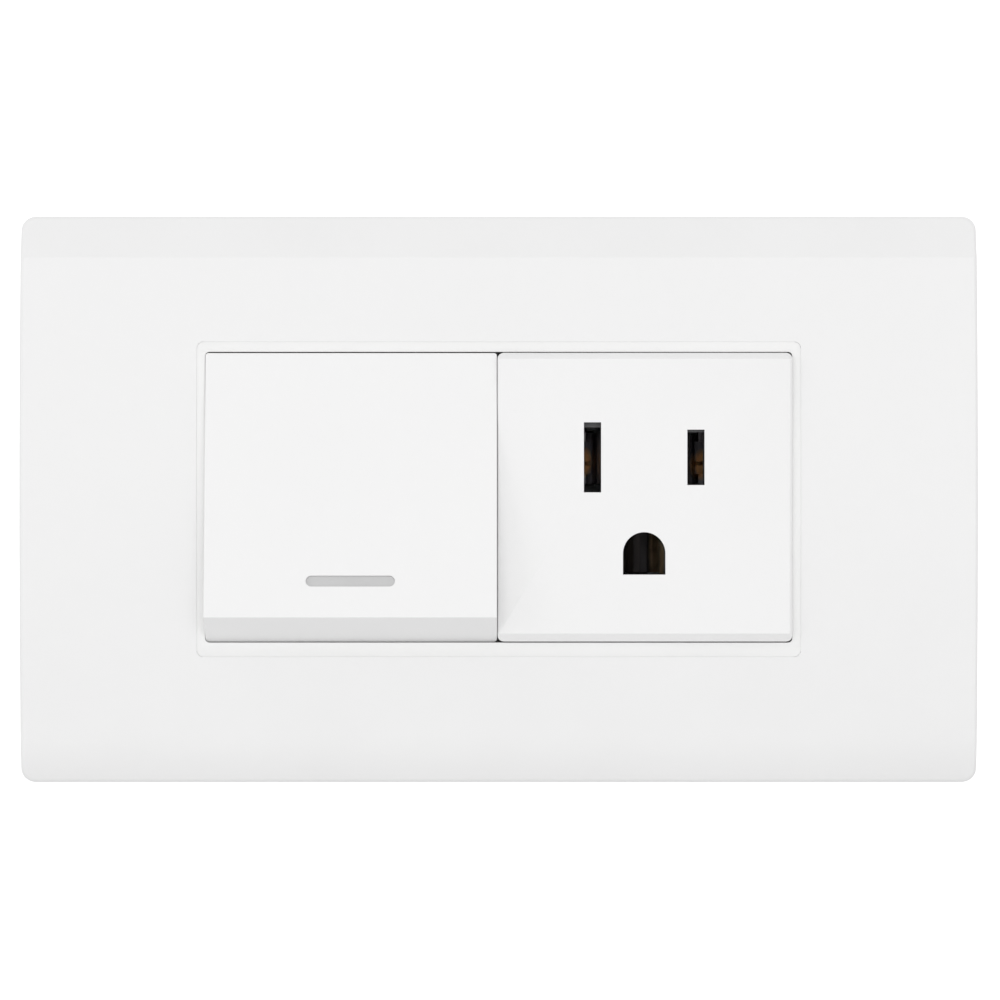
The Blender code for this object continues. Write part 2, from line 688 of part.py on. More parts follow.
def make_rocker_key():
    corners = key_corners()
    bm = prism(corners, "X", KEY_LEFT, KEY_RIGHT)
    front = sharp_edges(bm, 20, lambda m: m.y < -KEY_STRIP_HEIGHT + KEY_EDGE)
    bevel_edges(bm, front, KEY_EDGE, 2)
    key = add_object("rocker_key", bm, WHITE_ABS)
    deep = [(y + KEY_WALL * 4, z) for y, z in corners[3:]]
    cavity = inset_outline(corners[:3] + deep, KEY_WALL)
    rib_inner = SADDLE_HALF_WIDTH + GAP
    rib_outer = rib_inner + KEY_RIB
    cut(key, prism(cavity, "X", KEY_LEFT + KEY_WALL, KEY_X - rib_outer))
    cut(key, prism(cavity, "X", KEY_X - rib_inner, KEY_X + rib_inner))
    cut(key, prism(cavity, "X", KEY_X + rib_outer, KEY_RIGHT - KEY_WALL))
    rib_back = -PIVOT_HEIGHT - TRUNNION_RADIUS - GAP
    cut(key, block((KEY_LEFT + KEY_WALL * 2, KEY_RIGHT - KEY_WALL * 2), (rib_back, THROUGH),
                   (cavity[2][1] + THROUGH, cavity[0][1] - THROUGH)))
    cut(key, indicator_solid(0, 0, KEY_PROUD_HEIGHT + THROUGH, KEY_SKIRT_HEIGHT))
    smooth(hang_on(key, PIVOT))


def indicator_solid(growth, flange, front_height, back_height):
    """The indicator's rounded bar, square to the key's sloped face, between two heights."""
    along = face_tilt()
    centre_y = -face_height(INDICATOR_Z)
    outline = stadium(0, 0, INDICATOR_LENGTH + growth, INDICATOR_WIDTH + growth + flange)
    bm = prism(outline, "Y", -(front_height - face_height(INDICATOR_Z)),
               face_height(INDICATOR_Z) - back_height)
    bmesh.ops.rotate(bm, matrix=Matrix.Rotation(-along, 3, "X"), verts=bm.verts)
    bmesh.ops.translate(bm, vec=Vector((KEY_X, centre_y, INDICATOR_Z)), verts=bm.verts)
    return bm


def make_indicator():
    """A translucent bar that fills the key's slot, with a flange behind the face."""
    front = face_height(INDICATOR_Z) - INDICATOR_RECESS
    seat = face_height(INDICATOR_Z) - KEY_WALL - INDICATOR_FIT * 2
    bm = indicator_solid(-2 * INDICATOR_FIT, 0, front, seat - INDICATOR_FLANGE_THICK / 2)
    bar = add_object("indicator_strip", bm, GREY_LENS)
    join(bar, indicator_solid(INDICATOR_FLANGE, INDICATOR_FLANGE, seat, seat - INDICATOR_FLANGE_THICK))
    smooth(hang_on(bar, PIVOT))


def tilted_rod(radius, low, high, steps=ROUND_STEPS):
    """A rod along the carrier's own axis, between two distances behind the pivot."""
    bm = rod("Y", (0, 0), radius, low, high, steps)
    bmesh.ops.rotate(bm, matrix=Matrix.Rotation(-REST_TILT, 3, "X"), verts=bm.verts)
    bmesh.ops.translate(bm, vec=PIVOT, verts=bm.verts)
    return bm


def make_key_carrier():
    """The saddle clipped inside the key, with its trunnions and the plunger's tube."""
    top = MIDDLE_Z + SADDLE_HALF_LENGTH
    bottom = MIDDLE_Z - SADDLE_HALF_LENGTH
    inset = KEY_WALL / math.cos(face_tilt()) + GAP
    lower_front = INDICATOR_Z + INDICATOR_WIDTH + INDICATOR_FLANGE * 2
    outline = [(-face_height(top) + inset, top), (-face_height(lower_front) + inset, lower_front),
               (-PIVOT_HEIGHT - SADDLE_BACK * 2, bottom), (-PIVOT_HEIGHT + SADDLE_BACK, bottom),
               (-PIVOT_HEIGHT + SADDLE_BACK, top)]
    saddle = prism(outline, "X", KEY_X - SADDLE_HALF_WIDTH, KEY_X + SADDLE_HALF_WIDTH)
    carrier = add_object("key_carrier", saddle, ACETAL)
    join(carrier, rod("X", (PIVOT.y, PIVOT.z), TRUNNION_RADIUS,
                      KEY_X - TRUNNION_HALF_LENGTH, KEY_X + TRUNNION_HALF_LENGTH))
    join(carrier, tilted_rod(TUBE_RADIUS, -SADDLE_BACK, TUBE_REACH))
    cut(carrier, tilted_rod(TUBE_BORE, TUBE_FLOOR, TUBE_REACH + THROUGH))
    hang_on(carrier, PIVOT)


def make_plunger():
    """The plunger that the spring holds against the see-saw contact."""
    nose = PLUNGER_NOSE_RADIUS
    dome = [(nose * math.cos(a), PLUNGER_REACH - nose + nose * math.sin(a))
            for a in [math.radians(90 - 18 * i) for i in range(6)]]
    dome[0] = (0, PLUNGER_REACH)
    shoulder = TUBE_REACH - GAP
    profile = dome + [(nose, shoulder), (PLUNGER_BODY_RADIUS, shoulder - (PLUNGER_BODY_RADIUS - nose)),
                      (PLUNGER_BODY_RADIUS, PLUNGER_BODY_START), (0, PLUNGER_BODY_START)]
    turned("toggle_plunger", profile, PIVOT, -REST_TILT, ACETAL, 14)


def make_spring():
    """The coil spring behind the plunger, with its ends ground flat against both seats."""
    start = TUBE_FLOOR + SPRING_WIRE + RUNNING
    end = PLUNGER_BODY_START - SPRING_WIRE - RUNNING
    curve = bpy.data.curves.new("toggle_spring", "CURVE")
    curve.dimensions = "3D"
    curve.bevel_depth = SPRING_WIRE
    curve.bevel_resolution = 2
    curve.use_fill_caps = True
    count = SPRING_TURNS * SPRING_POINTS_PER_TURN
    spline = curve.splines.new("POLY")
    spline.points.add(count)
    for i in range(count + 1):
        angle = 2 * math.pi * i / SPRING_POINTS_PER_TURN
        along = start + (end - start) * i / count
        spline.points[i].co = (SPRING_RADIUS * math.cos(angle), along, SPRING_RADIUS * math.sin(angle), 1)
    spring = bpy.data.objects.new("toggle_spring", curve)
    PARTS.objects.link(spring)
    curve.materials.append(ZINC_STEEL)
    spring.location = PIVOT
    spring.rotation_euler = (-REST_TILT, 0, 0)


# Switch module

def make_switch_yoke():
    """The front flange on the frame's ledge, with the two ears that carry the trunnions."""
    back = -FRAME_BASE - GAP
    bm = block((KEY_LEFT, KEY_RIGHT), (-FLANGE_HEIGHT, back), (MODULE_BOTTOM, MODULE_TOP))
    yoke = add_object("switch_yoke", bm, BODY_GREY)
    for side in (-1, 1):
        inner = KEY_X + side * EAR_X - EAR_THICK / 2
        ear = rounded_rectangle(
            (-EAR_HEIGHT, back - OVERLAP), (MIDDLE_Z - EAR_HALF_LENGTH, MIDDLE_Z + EAR_HALF_LENGTH),
            EAR_HALF_LENGTH / 3)
        join(yoke, prism(ear, "X", inner, inner + EAR_THICK))
    hatch_x = (KEY_X - YOKE_HATCH_HALF_WIDTH, KEY_X + YOKE_HATCH_HALF_WIDTH)
    hatch_z = (MIDDLE_Z - YOKE_HATCH_HALF_LENGTH, MIDDLE_Z + YOKE_HATCH_HALF_LENGTH)
    cut(yoke, block(hatch_x, (-FLANGE_HEIGHT - THROUGH, THROUGH), hatch_z))
    cut(yoke, rod("X", (PIVOT.y, PIVOT.z), TRUNNION_RADIUS + RUNNING,
                  KEY_X - EAR_X - EAR_THICK, KEY_X + EAR_X + EAR_THICK, 20))
    wall = HOUSING_WALL + GAP
    for side in (-1, 1):
        outer = HOUSING_TOP - wall if side > 0 else HOUSING_BOTTOM + wall
        level = tuple(sorted((outer, outer - side * YOKE_LEG_THICK)))
        for across in (-1, 1):
            x = KEY_X + across * YOKE_LEG_X
            join(yoke, block((x - YOKE_LEG_WIDTH / 2, x + YOKE_LEG_WIDTH / 2),
                             (back - OVERLAP, back + YOKE_LEG_DEPTH), level))


def housing_nose(x, side):
    """The catch that holds a module behind the frame, sloped so that it can be pushed in."""
    edge = HOUSING_TOP if side > 0 else HOUSING_BOTTOM
    outline = [(GAP, edge - side * OVERLAP), (GAP, edge + side * NOSE_RISE),
               (GAP + NOSE_LENGTH / 3, edge + side * NOSE_RISE), (GAP + NOSE_LENGTH, edge - side * OVERLAP)]
    return prism(outline, "X", x - NOSE_WIDTH / 2, x + NOSE_WIDTH / 2)


def pocket_solids(x, z, tongue_x, tongue_z, wire_side):
    """Hollows of one terminal: the tongue's seat, the clamp's shaft, the well and the wire's way in."""
    seat = TONGUE_Y + STRIP / 2 + RUNNING
    half = POCKET_CLAMP / 2
    wire_z = z + wire_side * WIRE_HOLE_OFFSET
    channel = tuple(sorted((z, wire_z)))
    return (
        block((tongue_x[0] - GAP, tongue_x[1] + GAP), (CHAMBER_BACK - OVERLAP, seat),
              (tongue_z[0] - GAP, tongue_z[1] + GAP)),
        block((x - half, x + half), (seat - OVERLAP, HOUSING_BACK - HOUSING_WALL), (z - half, z + half)),
        rod("Y", (x, z), WELL_RADIUS, HOUSING_BACK - HOUSING_WALL - OVERLAP, HOUSING_BACK + THROUGH),
        rod("Y", (x, wire_z), WIRE_HOLE_RADIUS, seat + RUNNING, HOUSING_BACK + THROUGH, 12),
        block((x - WIRE_HOLE_RADIUS * 0.9, x + WIRE_HOLE_RADIUS * 0.9),
              (seat + RUNNING * 2, HOUSING_BACK - HOUSING_WALL - RUNNING), channel),
    )


def make_housing(name, left, right, module_x):
    """A deep box behind one module, closed at the back and hollow from the front."""
    bm = block((left, right), (-FRAME_BASE, HOUSING_BACK), (HOUSING_BOTTOM, HOUSING_TOP))
    rear_edges = sharp_edges(bm, 40, lambda m: m.y > HOUSING_BACK - THROUGH)
    bevel_edges(bm, rear_edges, HOUSING_WALL / 2, 1)
    housing = add_object(name, bm, BODY_GREY)
    cut(housing, block((left + HOUSING_WALL, right - HOUSING_WALL), (-FRAME_BASE - THROUGH, CHAMBER_BACK),
                       (HOUSING_BOTTOM + HOUSING_WALL, HOUSING_TOP - HOUSING_WALL)))
    for side in (-1, 1):
        join(housing, housing_nose(module_x, side))
    return housing


def make_switch_housing():
    left = KEY_LEFT + HOUSING_SIDE_GAP
    right = KEY_RIGHT - HOUSING_SIDE_GAP
    housing = make_housing("switch_housing", left, right, KEY_X)
    common_x, load_x = switch_tongues()
    common_z, load_z = switch_strip_levels()
    cut(housing, *pocket_solids(KEY_X + SWITCH_SCREW_X, MIDDLE_Z, common_x, common_z, -1))
    cut(housing, *pocket_solids(KEY_X - SWITCH_SCREW_X, MIDDLE_Z + LOAD_RISE, load_x, load_z, -1))
    high = HOUSING_TOP - HOUSING_WALL - CORE_LENGTH_Z / 2
    low = HOUSING_BOTTOM + HOUSING_WALL + CORE_LENGTH_Z / 2
    for x, z in ((KEY_X - SWITCH_SCREW_X, low), (KEY_X, low), (KEY_X, high)):
        cut(housing, core_pocket(x, z))


def core_pocket(x, z):
    """A blind hollow moulded in from the back to keep the walls thin."""
    return block((x - CORE_WIDTH / 2, x + CORE_WIDTH / 2),
                 (CHAMBER_BACK + HOUSING_WALL, HOUSING_BACK + THROUGH),
                 (z - CORE_LENGTH_Z / 2, z + CORE_LENGTH_Z / 2))


def switch_tongues():
    """Spans along X of the switch's two terminal tongues."""
    reach = TONGUE_REACH
    common = (KEY_X + SWITCH_LEG_X - STRIP / 2, KEY_X + SWITCH_SCREW_X + reach)
    load = (KEY_X - SWITCH_SCREW_X - reach, KEY_X - SWITCH_LEG_X + STRIP / 2)
    return common, load


def switch_strip_levels():
    """Spans along Z of the switch's two terminal strips."""
    half = SWITCH_STRIP_LENGTH_Z / 2
    middle = MIDDLE_Z
    return (middle - half, middle + half), (middle + LOAD_RISE - half, middle + LOAD_RISE + half)


def make_common_terminal():
    """The strip that carries the see-saw on its knife edge and ends under a screw."""
    knife_y = SEESAW_AXIS.y + RUNNING
    root_y = knife_y + KNIFE_LENGTH
    levels, _ = switch_strip_levels()
    path = [(KEY_X - SEESAW_WIDTH / 2, root_y), (KEY_X + SWITCH_LEG_X, root_y),
            (KEY_X + SWITCH_LEG_X, TONGUE_Y), (KEY_X + SWITCH_SCREW_X + TONGUE_REACH, TONGUE_Y)]
    strip = add_object("common_terminal", prism(strip_outline(path, STRIP), "Z", *levels), BRASS)
    half = KNIFE_LENGTH * math.tan(math.radians(KNIFE_HALF_ANGLE_DEG))
    knife = [(knife_y, MIDDLE_Z), (root_y, MIDDLE_Z + half), (root_y, MIDDLE_Z - half)]
    join(strip, prism(knife, "X", KEY_X - SEESAW_WIDTH / 2 + GAP, KEY_X + SEESAW_WIDTH / 2 - GAP))
    cut(strip, screw_hole(KEY_X + SWITCH_SCREW_X, MIDDLE_Z))


def screw_hole(x, z):
    return rod("Y", (x, z), TERMINAL_HOLE_RADIUS, TONGUE_Y - THROUGH, TONGUE_Y + THROUGH)


def fixed_rivet_front():
    """Level behind the see-saw where the fixed rivet's face lies when the contact is closed."""
    lever = RIVET_OFFSET_Z * math.sin(SEESAW_TILT)
    return SEESAW_AXIS.y + lever + RIVET_HEIGHT * math.cos(SEESAW_TILT) + GAP


def make_load_terminal():
    """The strip behind the see-saw's upper end, with the fixed rivet, which ends under a screw."""
    root_y = fixed_rivet_front() + RIVET_HEIGHT + GAP + STRIP / 2
    _, levels = switch_strip_levels()
    path = [(KEY_X + SEESAW_WIDTH / 2, root_y), (KEY_X - SWITCH_LEG_X, root_y),
            (KEY_X - SWITCH_LEG_X, TONGUE_Y), (KEY_X - SWITCH_SCREW_X - TONGUE_REACH, TONGUE_Y)]
    strip = add_object("load_terminal", prism(strip_outline(path, STRIP), "Z", *levels), BRASS)
    cut(strip, screw_hole(KEY_X - SWITCH_SCREW_X, MIDDLE_Z + LOAD_RISE))
    rivet_z = MIDDLE_Z + RIVET_OFFSET_Z
    front = fixed_rivet_front()
    rivet = rod("Y", (KEY_X, rivet_z), RIVET_RADIUS, front, front + RIVET_HEIGHT)
    add_object("fixed_contact_rivet", rivet, SILVER)


def make_seesaw():
    """The rocking contact bar and its rivet, tilted about the knife edge."""
    half = SEESAW_HALF_LENGTH
    bar = block((KEY_X - SEESAW_WIDTH / 2, KEY_X + SEESAW_WIDTH / 2), (SEESAW_FRONT, SEESAW_AXIS.y),
                (MIDDLE_Z - half, MIDDLE_Z + half))
    bevel_edges(bar, edges_along(bar, "Y"), SEESAW_WIDTH / 5, 2)
    rivet = rod("Y", (KEY_X, MIDDLE_Z + RIVET_OFFSET_Z), RIVET_RADIUS,
                SEESAW_AXIS.y + RIVET_HEIGHT / 10, SEESAW_AXIS.y + RIVET_HEIGHT)
    for name, bm, material in (("moving_contact", bar, COPPER), ("moving_contact_rivet", rivet, SILVER)):
        bmesh.ops.rotate(bm, cent=SEESAW_AXIS, matrix=Matrix.Rotation(SEESAW_TILT, 3, "X"), verts=bm.verts)
        hang_on(add_object(name, bm, material), SEESAW_AXIS)


# Outlet module

def make_socket_face():
    """The outlet's front: a tub with two chamfered edges, three openings and their guide walls."""
    skirt = -FRAME_BASE - GAP
    outline = rounded_rectangle((FACE_LEFT, FACE_RIGHT), (MODULE_BOTTOM, MODULE_TOP), FACE_CORNER)
    bm = prism(outline, "Y", -FACE_HEIGHT, skirt)
    long_edges = edges_along(bm, "X", lambda m: m.y < -FACE_HEIGHT + GAP)
    bevel_edges(bm, long_edges, FACE_CHAMFER, 1)
    sides = edges_along(bm, "Z", lambda m: m.y < -FACE_HEIGHT + GAP)
    bevel_edges(bm, sides, FACE_SIDE_EDGE, 1)
    face = add_object("socket_face", bm, WHITE_ABS)
    cut(face, block((FACE_LEFT + FACE_WALL, FACE_RIGHT - FACE_WALL), (-FACE_HEIGHT + FACE_WALL, THROUGH),
                    (MODULE_BOTTOM + FACE_WALL, MODULE_TOP - FACE_WALL)))
    guide = (-FACE_HEIGHT + FACE_WALL - OVERLAP, -GUIDE_BACK_HEIGHT)
    for x, length in slot_places():
        half = SLOT_WIDTH / 2 + GUIDE_WALL
        join(face, block((x - half, x + half), guide,
                         (SLOT_Z - length / 2 - GUIDE_WALL, SLOT_Z + length / 2 + GUIDE_WALL)))
    join(face, prism(earth_outline(EARTH_HOLE_RADIUS + GUIDE_WALL), "Y", *guide))
    for (x, length), step in zip(slot_places(), (NEUTRAL_STEP, LIVE_STEP)):
        top = SLOT_Z + length / 2
        stepped = [(-FACE_HEIGHT - THROUGH, top), (-STEP_HEIGHT, top), (-STEP_HEIGHT, top - step),
                   (THROUGH, top - step), (THROUGH, SLOT_Z - length / 2),
                   (-FACE_HEIGHT - THROUGH, SLOT_Z - length / 2)]
        cut(face, prism(stepped, "X", x - SLOT_WIDTH / 2, x + SLOT_WIDTH / 2))
    cut(face, prism(earth_outline(EARTH_HOLE_RADIUS), "Y", -FACE_HEIGHT - THROUGH, THROUGH))


def slot_places():
    """The neutral slot at the left, the shorter live slot at the right."""
    return ((FACE_X - SLOT_SPACING / 2, NEUTRAL_SLOT_LENGTH), (FACE_X + SLOT_SPACING / 2, LIVE_SLOT_LENGTH))


def outlet_terminals():
    """Name, contact centre, leaf half length, screw X and screw Z of the three poles."""
    neutral_x, live_x = [x for x, _ in slot_places()]
    return (("neutral", neutral_x, SLOT_Z, BLADE_LEAF_HALF_LENGTH, FACE_X - OUTLET_SCREW_X),
            ("live", live_x, SLOT_Z, BLADE_LEAF_HALF_LENGTH, FACE_X + OUTLET_SCREW_X),
            ("earth", FACE_X, EARTH_Z, EARTH_LEAF_HALF_LENGTH, FACE_X + EARTH_SCREW_X))


def make_socket_housing():
    left = FACE_LEFT + HOUSING_SIDE_GAP
    right = FACE_RIGHT - HOUSING_SIDE_GAP
    housing = make_housing("socket_housing", left, right, FACE_X)
    floor = CHAMBER_BACK + OVERLAP
    top = HOUSING_TOP - HOUSING_WALL + OVERLAP
    bottom = HOUSING_BOTTOM + HOUSING_WALL - OVERLAP
    shelf_z = SLOT_Z - EARTH_DROP / 2
    join(housing, block((FACE_X - PARTITION / 2, FACE_X + PARTITION / 2), (THROUGH, floor), (shelf_z, top)))
    join(housing, block((left + HOUSING_WALL - OVERLAP, right - HOUSING_WALL + OVERLAP), (THROUGH, floor),
                        (shelf_z - PARTITION / 2, shelf_z + PARTITION / 2)))
    for name, x, z, half_length, screw_x in outlet_terminals():
        way = 1 if screw_x > x else -1
        tongue_x = tuple(sorted((x - way * STRIP / 2, screw_x + way * TONGUE_REACH)))
        wire_side = -1 if name == "earth" else 1
        cut(housing, *pocket_solids(screw_x, z, tongue_x, (z - half_length, z + half_length), wire_side))
    core_x = EARTH_SCREW_X + TONGUE_REACH + GAP + HOUSING_WALL + CORE_WIDTH / 2
    for x in (-core_x, core_x):
        cut(housing, core_pocket(FACE_X + x, EARTH_Z))


def clip_path(x, gap, sprung):
    """Centre line of a hairpin clip; on its sprung side the leaf bows in to the middle of the slot."""
    half = gap / 2 + STRIP / 2
    back = CLIP_BACK
    front = -LEAF_FRONT_HEIGHT
    neck = front + LIP_LENGTH
    sides = []
    for side in (-1, 1):
        lip = (x + side * (half + LIP_FLARE), front)
        if side == sprung:
            touch = (x + side * (LEAF_TOUCH + STRIP / 2), neck)
            sides.append([lip, touch, (x + side * half, neck + LIP_LENGTH)])
        else:
            sides.append([lip, (x + side * half, neck)])
    bend = [(x + half * math.cos(a), back - half + half * math.sin(a))
            for a in [math.radians(180 - 180 * i / 8) for i in range(9)]]
    return sides[0] + bend + sides[1][::-1]


def make_outlet_contact(name, x, z, half_length, screw_x, gap, sprung):
    """A hairpin clip with flared lips; its bend runs on into the tongue under the screw."""
    way = 1 if screw_x > x else -1
    levels = (z - half_length, z + half_length)
    path = clip_path(x, gap, way if sprung else 0)
    clip = add_object(name, prism(strip_outline(path, STRIP), "Z", *levels), BRASS)
    leg = [(x, CLIP_BACK - OVERLAP / 2), (x, TONGUE_Y), (screw_x + way * TONGUE_REACH, TONGUE_Y)]
    inner_levels = (levels[0] + RUNNING, levels[1] - RUNNING)
    join(clip, prism(strip_outline(leg, STRIP), "Z", *inner_levels))
    cut(clip, screw_hole(screw_x, z))
    if sprung:
        beyond = gap / 2 + STRIP + LIP_FLARE + STRIP
        lip = tuple(sorted((x, x + way * beyond)))
        front = -LEAF_FRONT_HEIGHT - THROUGH
        slit_z = z - FINGER_DROP
        slit = (slit_z - FINGER_SLIT / 2, slit_z + FINGER_SLIT / 2)
        cut(clip, block(lip, (front, CLIP_BACK - gap - STRIP), slit))
        lip_back = -LEAF_FRONT_HEIGHT + 2 * LIP_LENGTH
        cut(clip, block(lip, (front, lip_back), (z + LIP_HALF_LENGTH, levels[1] + THROUGH)))
        cut(clip, block(lip, (front, lip_back), (levels[0] - THROUGH, z - LIP_HALF_LENGTH)))


def make_outlet():
    make_socket_face()
    make_socket_housing()
    for name, x, z, half_length, screw_x in outlet_terminals():
        gap = EARTH_GAP if name == "earth" else BLADE_GAP
        make_outlet_contact(f"{name}_contact", x, z, half_length, screw_x, gap, name != "earth")
        make_terminal(name, screw_x, z)


def make_switch():
    make_switch_yoke()
    make_switch_housing()
    make_seesaw()
    make_common_terminal()
    make_load_terminal()
    make_terminal("common", KEY_X + SWITCH_SCREW_X, MIDDLE_Z)
    make_terminal("load", KEY_X - SWITCH_SCREW_X, MIDDLE_Z + LOAD_RISE)


def make_rocker():
    make_rocker_key()
    make_indicator()
    make_key_carrier()
    make_plunger()
    make_spring()


make_cover_plate()
make_mounting_frame()
make_mounting_screws()
make_rocker()
make_switch()
make_outlet()
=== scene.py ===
import json
import math

import bmesh
import bpy
from mathutils import Matrix, Vector


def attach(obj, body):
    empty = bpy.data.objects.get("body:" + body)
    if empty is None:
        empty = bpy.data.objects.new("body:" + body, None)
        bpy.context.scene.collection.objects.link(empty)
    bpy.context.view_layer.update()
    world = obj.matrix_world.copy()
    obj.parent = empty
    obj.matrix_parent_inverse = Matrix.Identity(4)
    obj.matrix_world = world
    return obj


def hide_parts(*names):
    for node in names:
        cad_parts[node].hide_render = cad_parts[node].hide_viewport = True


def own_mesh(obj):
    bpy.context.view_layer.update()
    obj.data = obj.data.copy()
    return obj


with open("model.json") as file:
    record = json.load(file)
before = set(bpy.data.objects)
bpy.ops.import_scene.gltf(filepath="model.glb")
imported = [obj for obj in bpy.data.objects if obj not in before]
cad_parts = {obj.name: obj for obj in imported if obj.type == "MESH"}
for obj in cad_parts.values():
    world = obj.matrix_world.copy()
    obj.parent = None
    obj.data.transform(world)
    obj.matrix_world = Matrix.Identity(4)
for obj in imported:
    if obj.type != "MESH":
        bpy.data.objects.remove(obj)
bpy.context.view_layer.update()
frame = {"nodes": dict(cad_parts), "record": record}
nodes = frame["nodes"]
mm = 0.001
near = 1e-6           # two places closer than this count as one
onPlane = 1e-7        # the same for a cut along a plane
past = mm             # how far a cutting solid reaches past the surface it cuts
sunk = 0.3 * mm       # how deep a joined solid starts inside its neighbour
wholeRound = 0.9995   # share of the half width that rounds an end, just short of folding it
print("frame loaded:", len(nodes), "nodes")


# Finishes. All patterns sit on Object coordinates, so their scales are in waves per metre.

# the middle span of the noise that is used, the noise's detail, and how a rolled sheet's shine varies
pattern = {"low": 0.35, "high": 0.65, "flowDetail": 3.0, "fineDetail": 4.0, "tarnishDetail": 5.0,
           "drawnDetail": 3.0, "smoother": 0.08, "rougher": 0.12, "drawnStrength": 0.25,
           "drawnDepth": 0.00002}

plasticLooks = {
    "whiteAbs": {"colour": (0.848, 0.847, 0.847), "roughness": 0.34, "spread": 0.05, "flowShade": 0.985,
                 "flowScale": 55, "grainScale": 5200, "grainStrength": 0.10, "grainDepth": 0.00003},
    "coverWhite": {"colour": (0.831, 0.830, 0.830), "roughness": 0.34, "spread": 0.05, "flowShade": 0.985,
                   "flowScale": 55, "grainScale": 5200, "grainStrength": 0.10, "grainDepth": 0.00003},
    "frameWhite": {"colour": (0.862, 0.862, 0.858), "roughness": 0.42, "spread": 0.06, "flowShade": 0.975,
                   "flowScale": 70, "grainScale": 4200, "grainStrength": 0.16, "grainDepth": 0.00004},
    "bodyGrey": {"colour": (0.62, 0.63, 0.64), "roughness": 0.55, "spread": 0.07, "flowShade": 0.95,
                 "flowScale": 90, "grainScale": 3200, "grainStrength": 0.30, "grainDepth": 0.00005},
    "acetal": {"colour": (0.78, 0.78, 0.75), "roughness": 0.40, "spread": 0.05, "flowShade": 0.97,
               "flowScale": 120, "grainScale": 4000, "grainStrength": 0.12, "grainDepth": 0.00003},
    "greyLens": {"colour": (0.555, 0.555, 0.556), "roughness": 0.38, "spread": 0.04, "flowShade": 0.96,
                 "flowScale": 300, "grainScale": 6000, "grainStrength": 0.08, "grainDepth": 0.00002},
    # a dark grey painted on the slot and hole passages as their shade
    "passageShadeGrey": {"colour": (0.12, 0.12, 0.125), "roughness": 0.50, "spread": 0.06, "flowShade": 0.90,
                  "flowScale": 200, "grainScale": 3600, "grainStrength": 0.25, "grainDepth": 0.00004},
}

metalLooks = {
    "brass": {"colour": (0.70, 0.47, 0.22), "tarnish": (0.46, 0.29, 0.14), "roughness": 0.34,
              "tarnishScale": 420, "drawnScale": 2600, "stretch": (1.0, 1.0, 0.06)},
    # colours of the painted glints on the contacts, seen down the slots and the earth hole
    "glintBrass": {"colour": (1.0, 0.62, 0.29), "tarnish": (0.92, 0.50, 0.21), "roughness": 0.60,
                    "tarnishScale": 420, "drawnScale": 2600, "stretch": (1.0, 1.0, 0.06)},
    "paleGlintBrass": {"colour": (0.86, 0.68, 0.44), "tarnish": (0.66, 0.50, 0.31), "roughness": 0.60,
                    "tarnishScale": 420, "drawnScale": 2600, "stretch": (1.0, 1.0, 0.06)},
    "copper": {"colour": (0.74, 0.41, 0.27), "tarnish": (0.50, 0.25, 0.16), "roughness": 0.34,
               "tarnishScale": 420, "drawnScale": 2600, "stretch": (1.0, 1.0, 0.06)},
    "silver": {"colour": (0.80, 0.80, 0.78), "tarnish": (0.60, 0.59, 0.55), "roughness": 0.26,
               "tarnishScale": 700, "drawnScale": 3000, "stretch": (1.0, 1.0, 1.0)},
    "zincSteel": {"colour": (0.66, 0.67, 0.68), "tarnish": (0.52, 0.53, 0.53), "roughness": 0.36,
                  "tarnishScale": 500, "drawnScale": 2400, "stretch": (1.0, 0.08, 1.0)},
}


def plainShader(name, colour, roughness, metallic):
    material = bpy.data.materials.new(name)
    material.use_nodes = True
    shader = material.node_tree.nodes["Principled BSDF"]
    shader.inputs["Base Color"].default_value = (*colour, 1.0)
    shader.inputs["Roughness"].default_value = roughness
    shader.inputs["Metallic"].default_value = metallic
    return material, shader


def noiseOn(material, scale, detail, stretch=(1.0, 1.0, 1.0)):
    # noise over the piece's own coordinates
    tree = material.node_tree
    place = tree.nodes.new("ShaderNodeTexCoord")
    shift = tree.nodes.new("ShaderNodeMapping")
    shift.inputs["Scale"].default_value = stretch
    noise = tree.nodes.new("ShaderNodeTexNoise")
    noise.inputs["Scale"].default_value = scale
    noise.inputs["Detail"].default_value = detail
    tree.links.new(place.outputs["Object"], shift.inputs["Vector"])
    tree.links.new(shift.outputs["Vector"], noise.inputs["Vector"])
    return noise.outputs["Fac"]


def shadeBetween(material, value, low, high):
    ramp = material.node_tree.nodes.new("ShaderNodeValToRGB")
    dark, light = ramp.color_ramp.elements
    dark.position, light.position = pattern["low"], pattern["high"]
    dark.color, light.color = (*low, 1.0), (*high, 1.0)
    material.node_tree.links.new(value, ramp.inputs["Fac"])
    return ramp.outputs["Color"]


def rangeNode(tree, fromLow, fromHigh, low, high):
    span = tree.nodes.new("ShaderNodeMapRange")
    for socket, number in (("From Min", fromLow), ("From Max", fromHigh), ("To Min", low), ("To Max", high)):
        span.inputs[socket].default_value = number
    return span


def numberBetween(material, value, low, high):
    span = rangeNode(material.node_tree, pattern["low"], pattern["high"], low, high)
    material.node_tree.links.new(value, span.inputs["Value"])
    return span.outputs["Result"]


def grain(material, shader, value, strength, distance):
    bump = material.node_tree.nodes.new("ShaderNodeBump")
    bump.inputs["Strength"].default_value = strength
    bump.inputs["Distance"].default_value = distance
    material.node_tree.links.new(value, bump.inputs["Height"])
    material.node_tree.links.new(bump.outputs["Normal"], shader.inputs["Normal"])


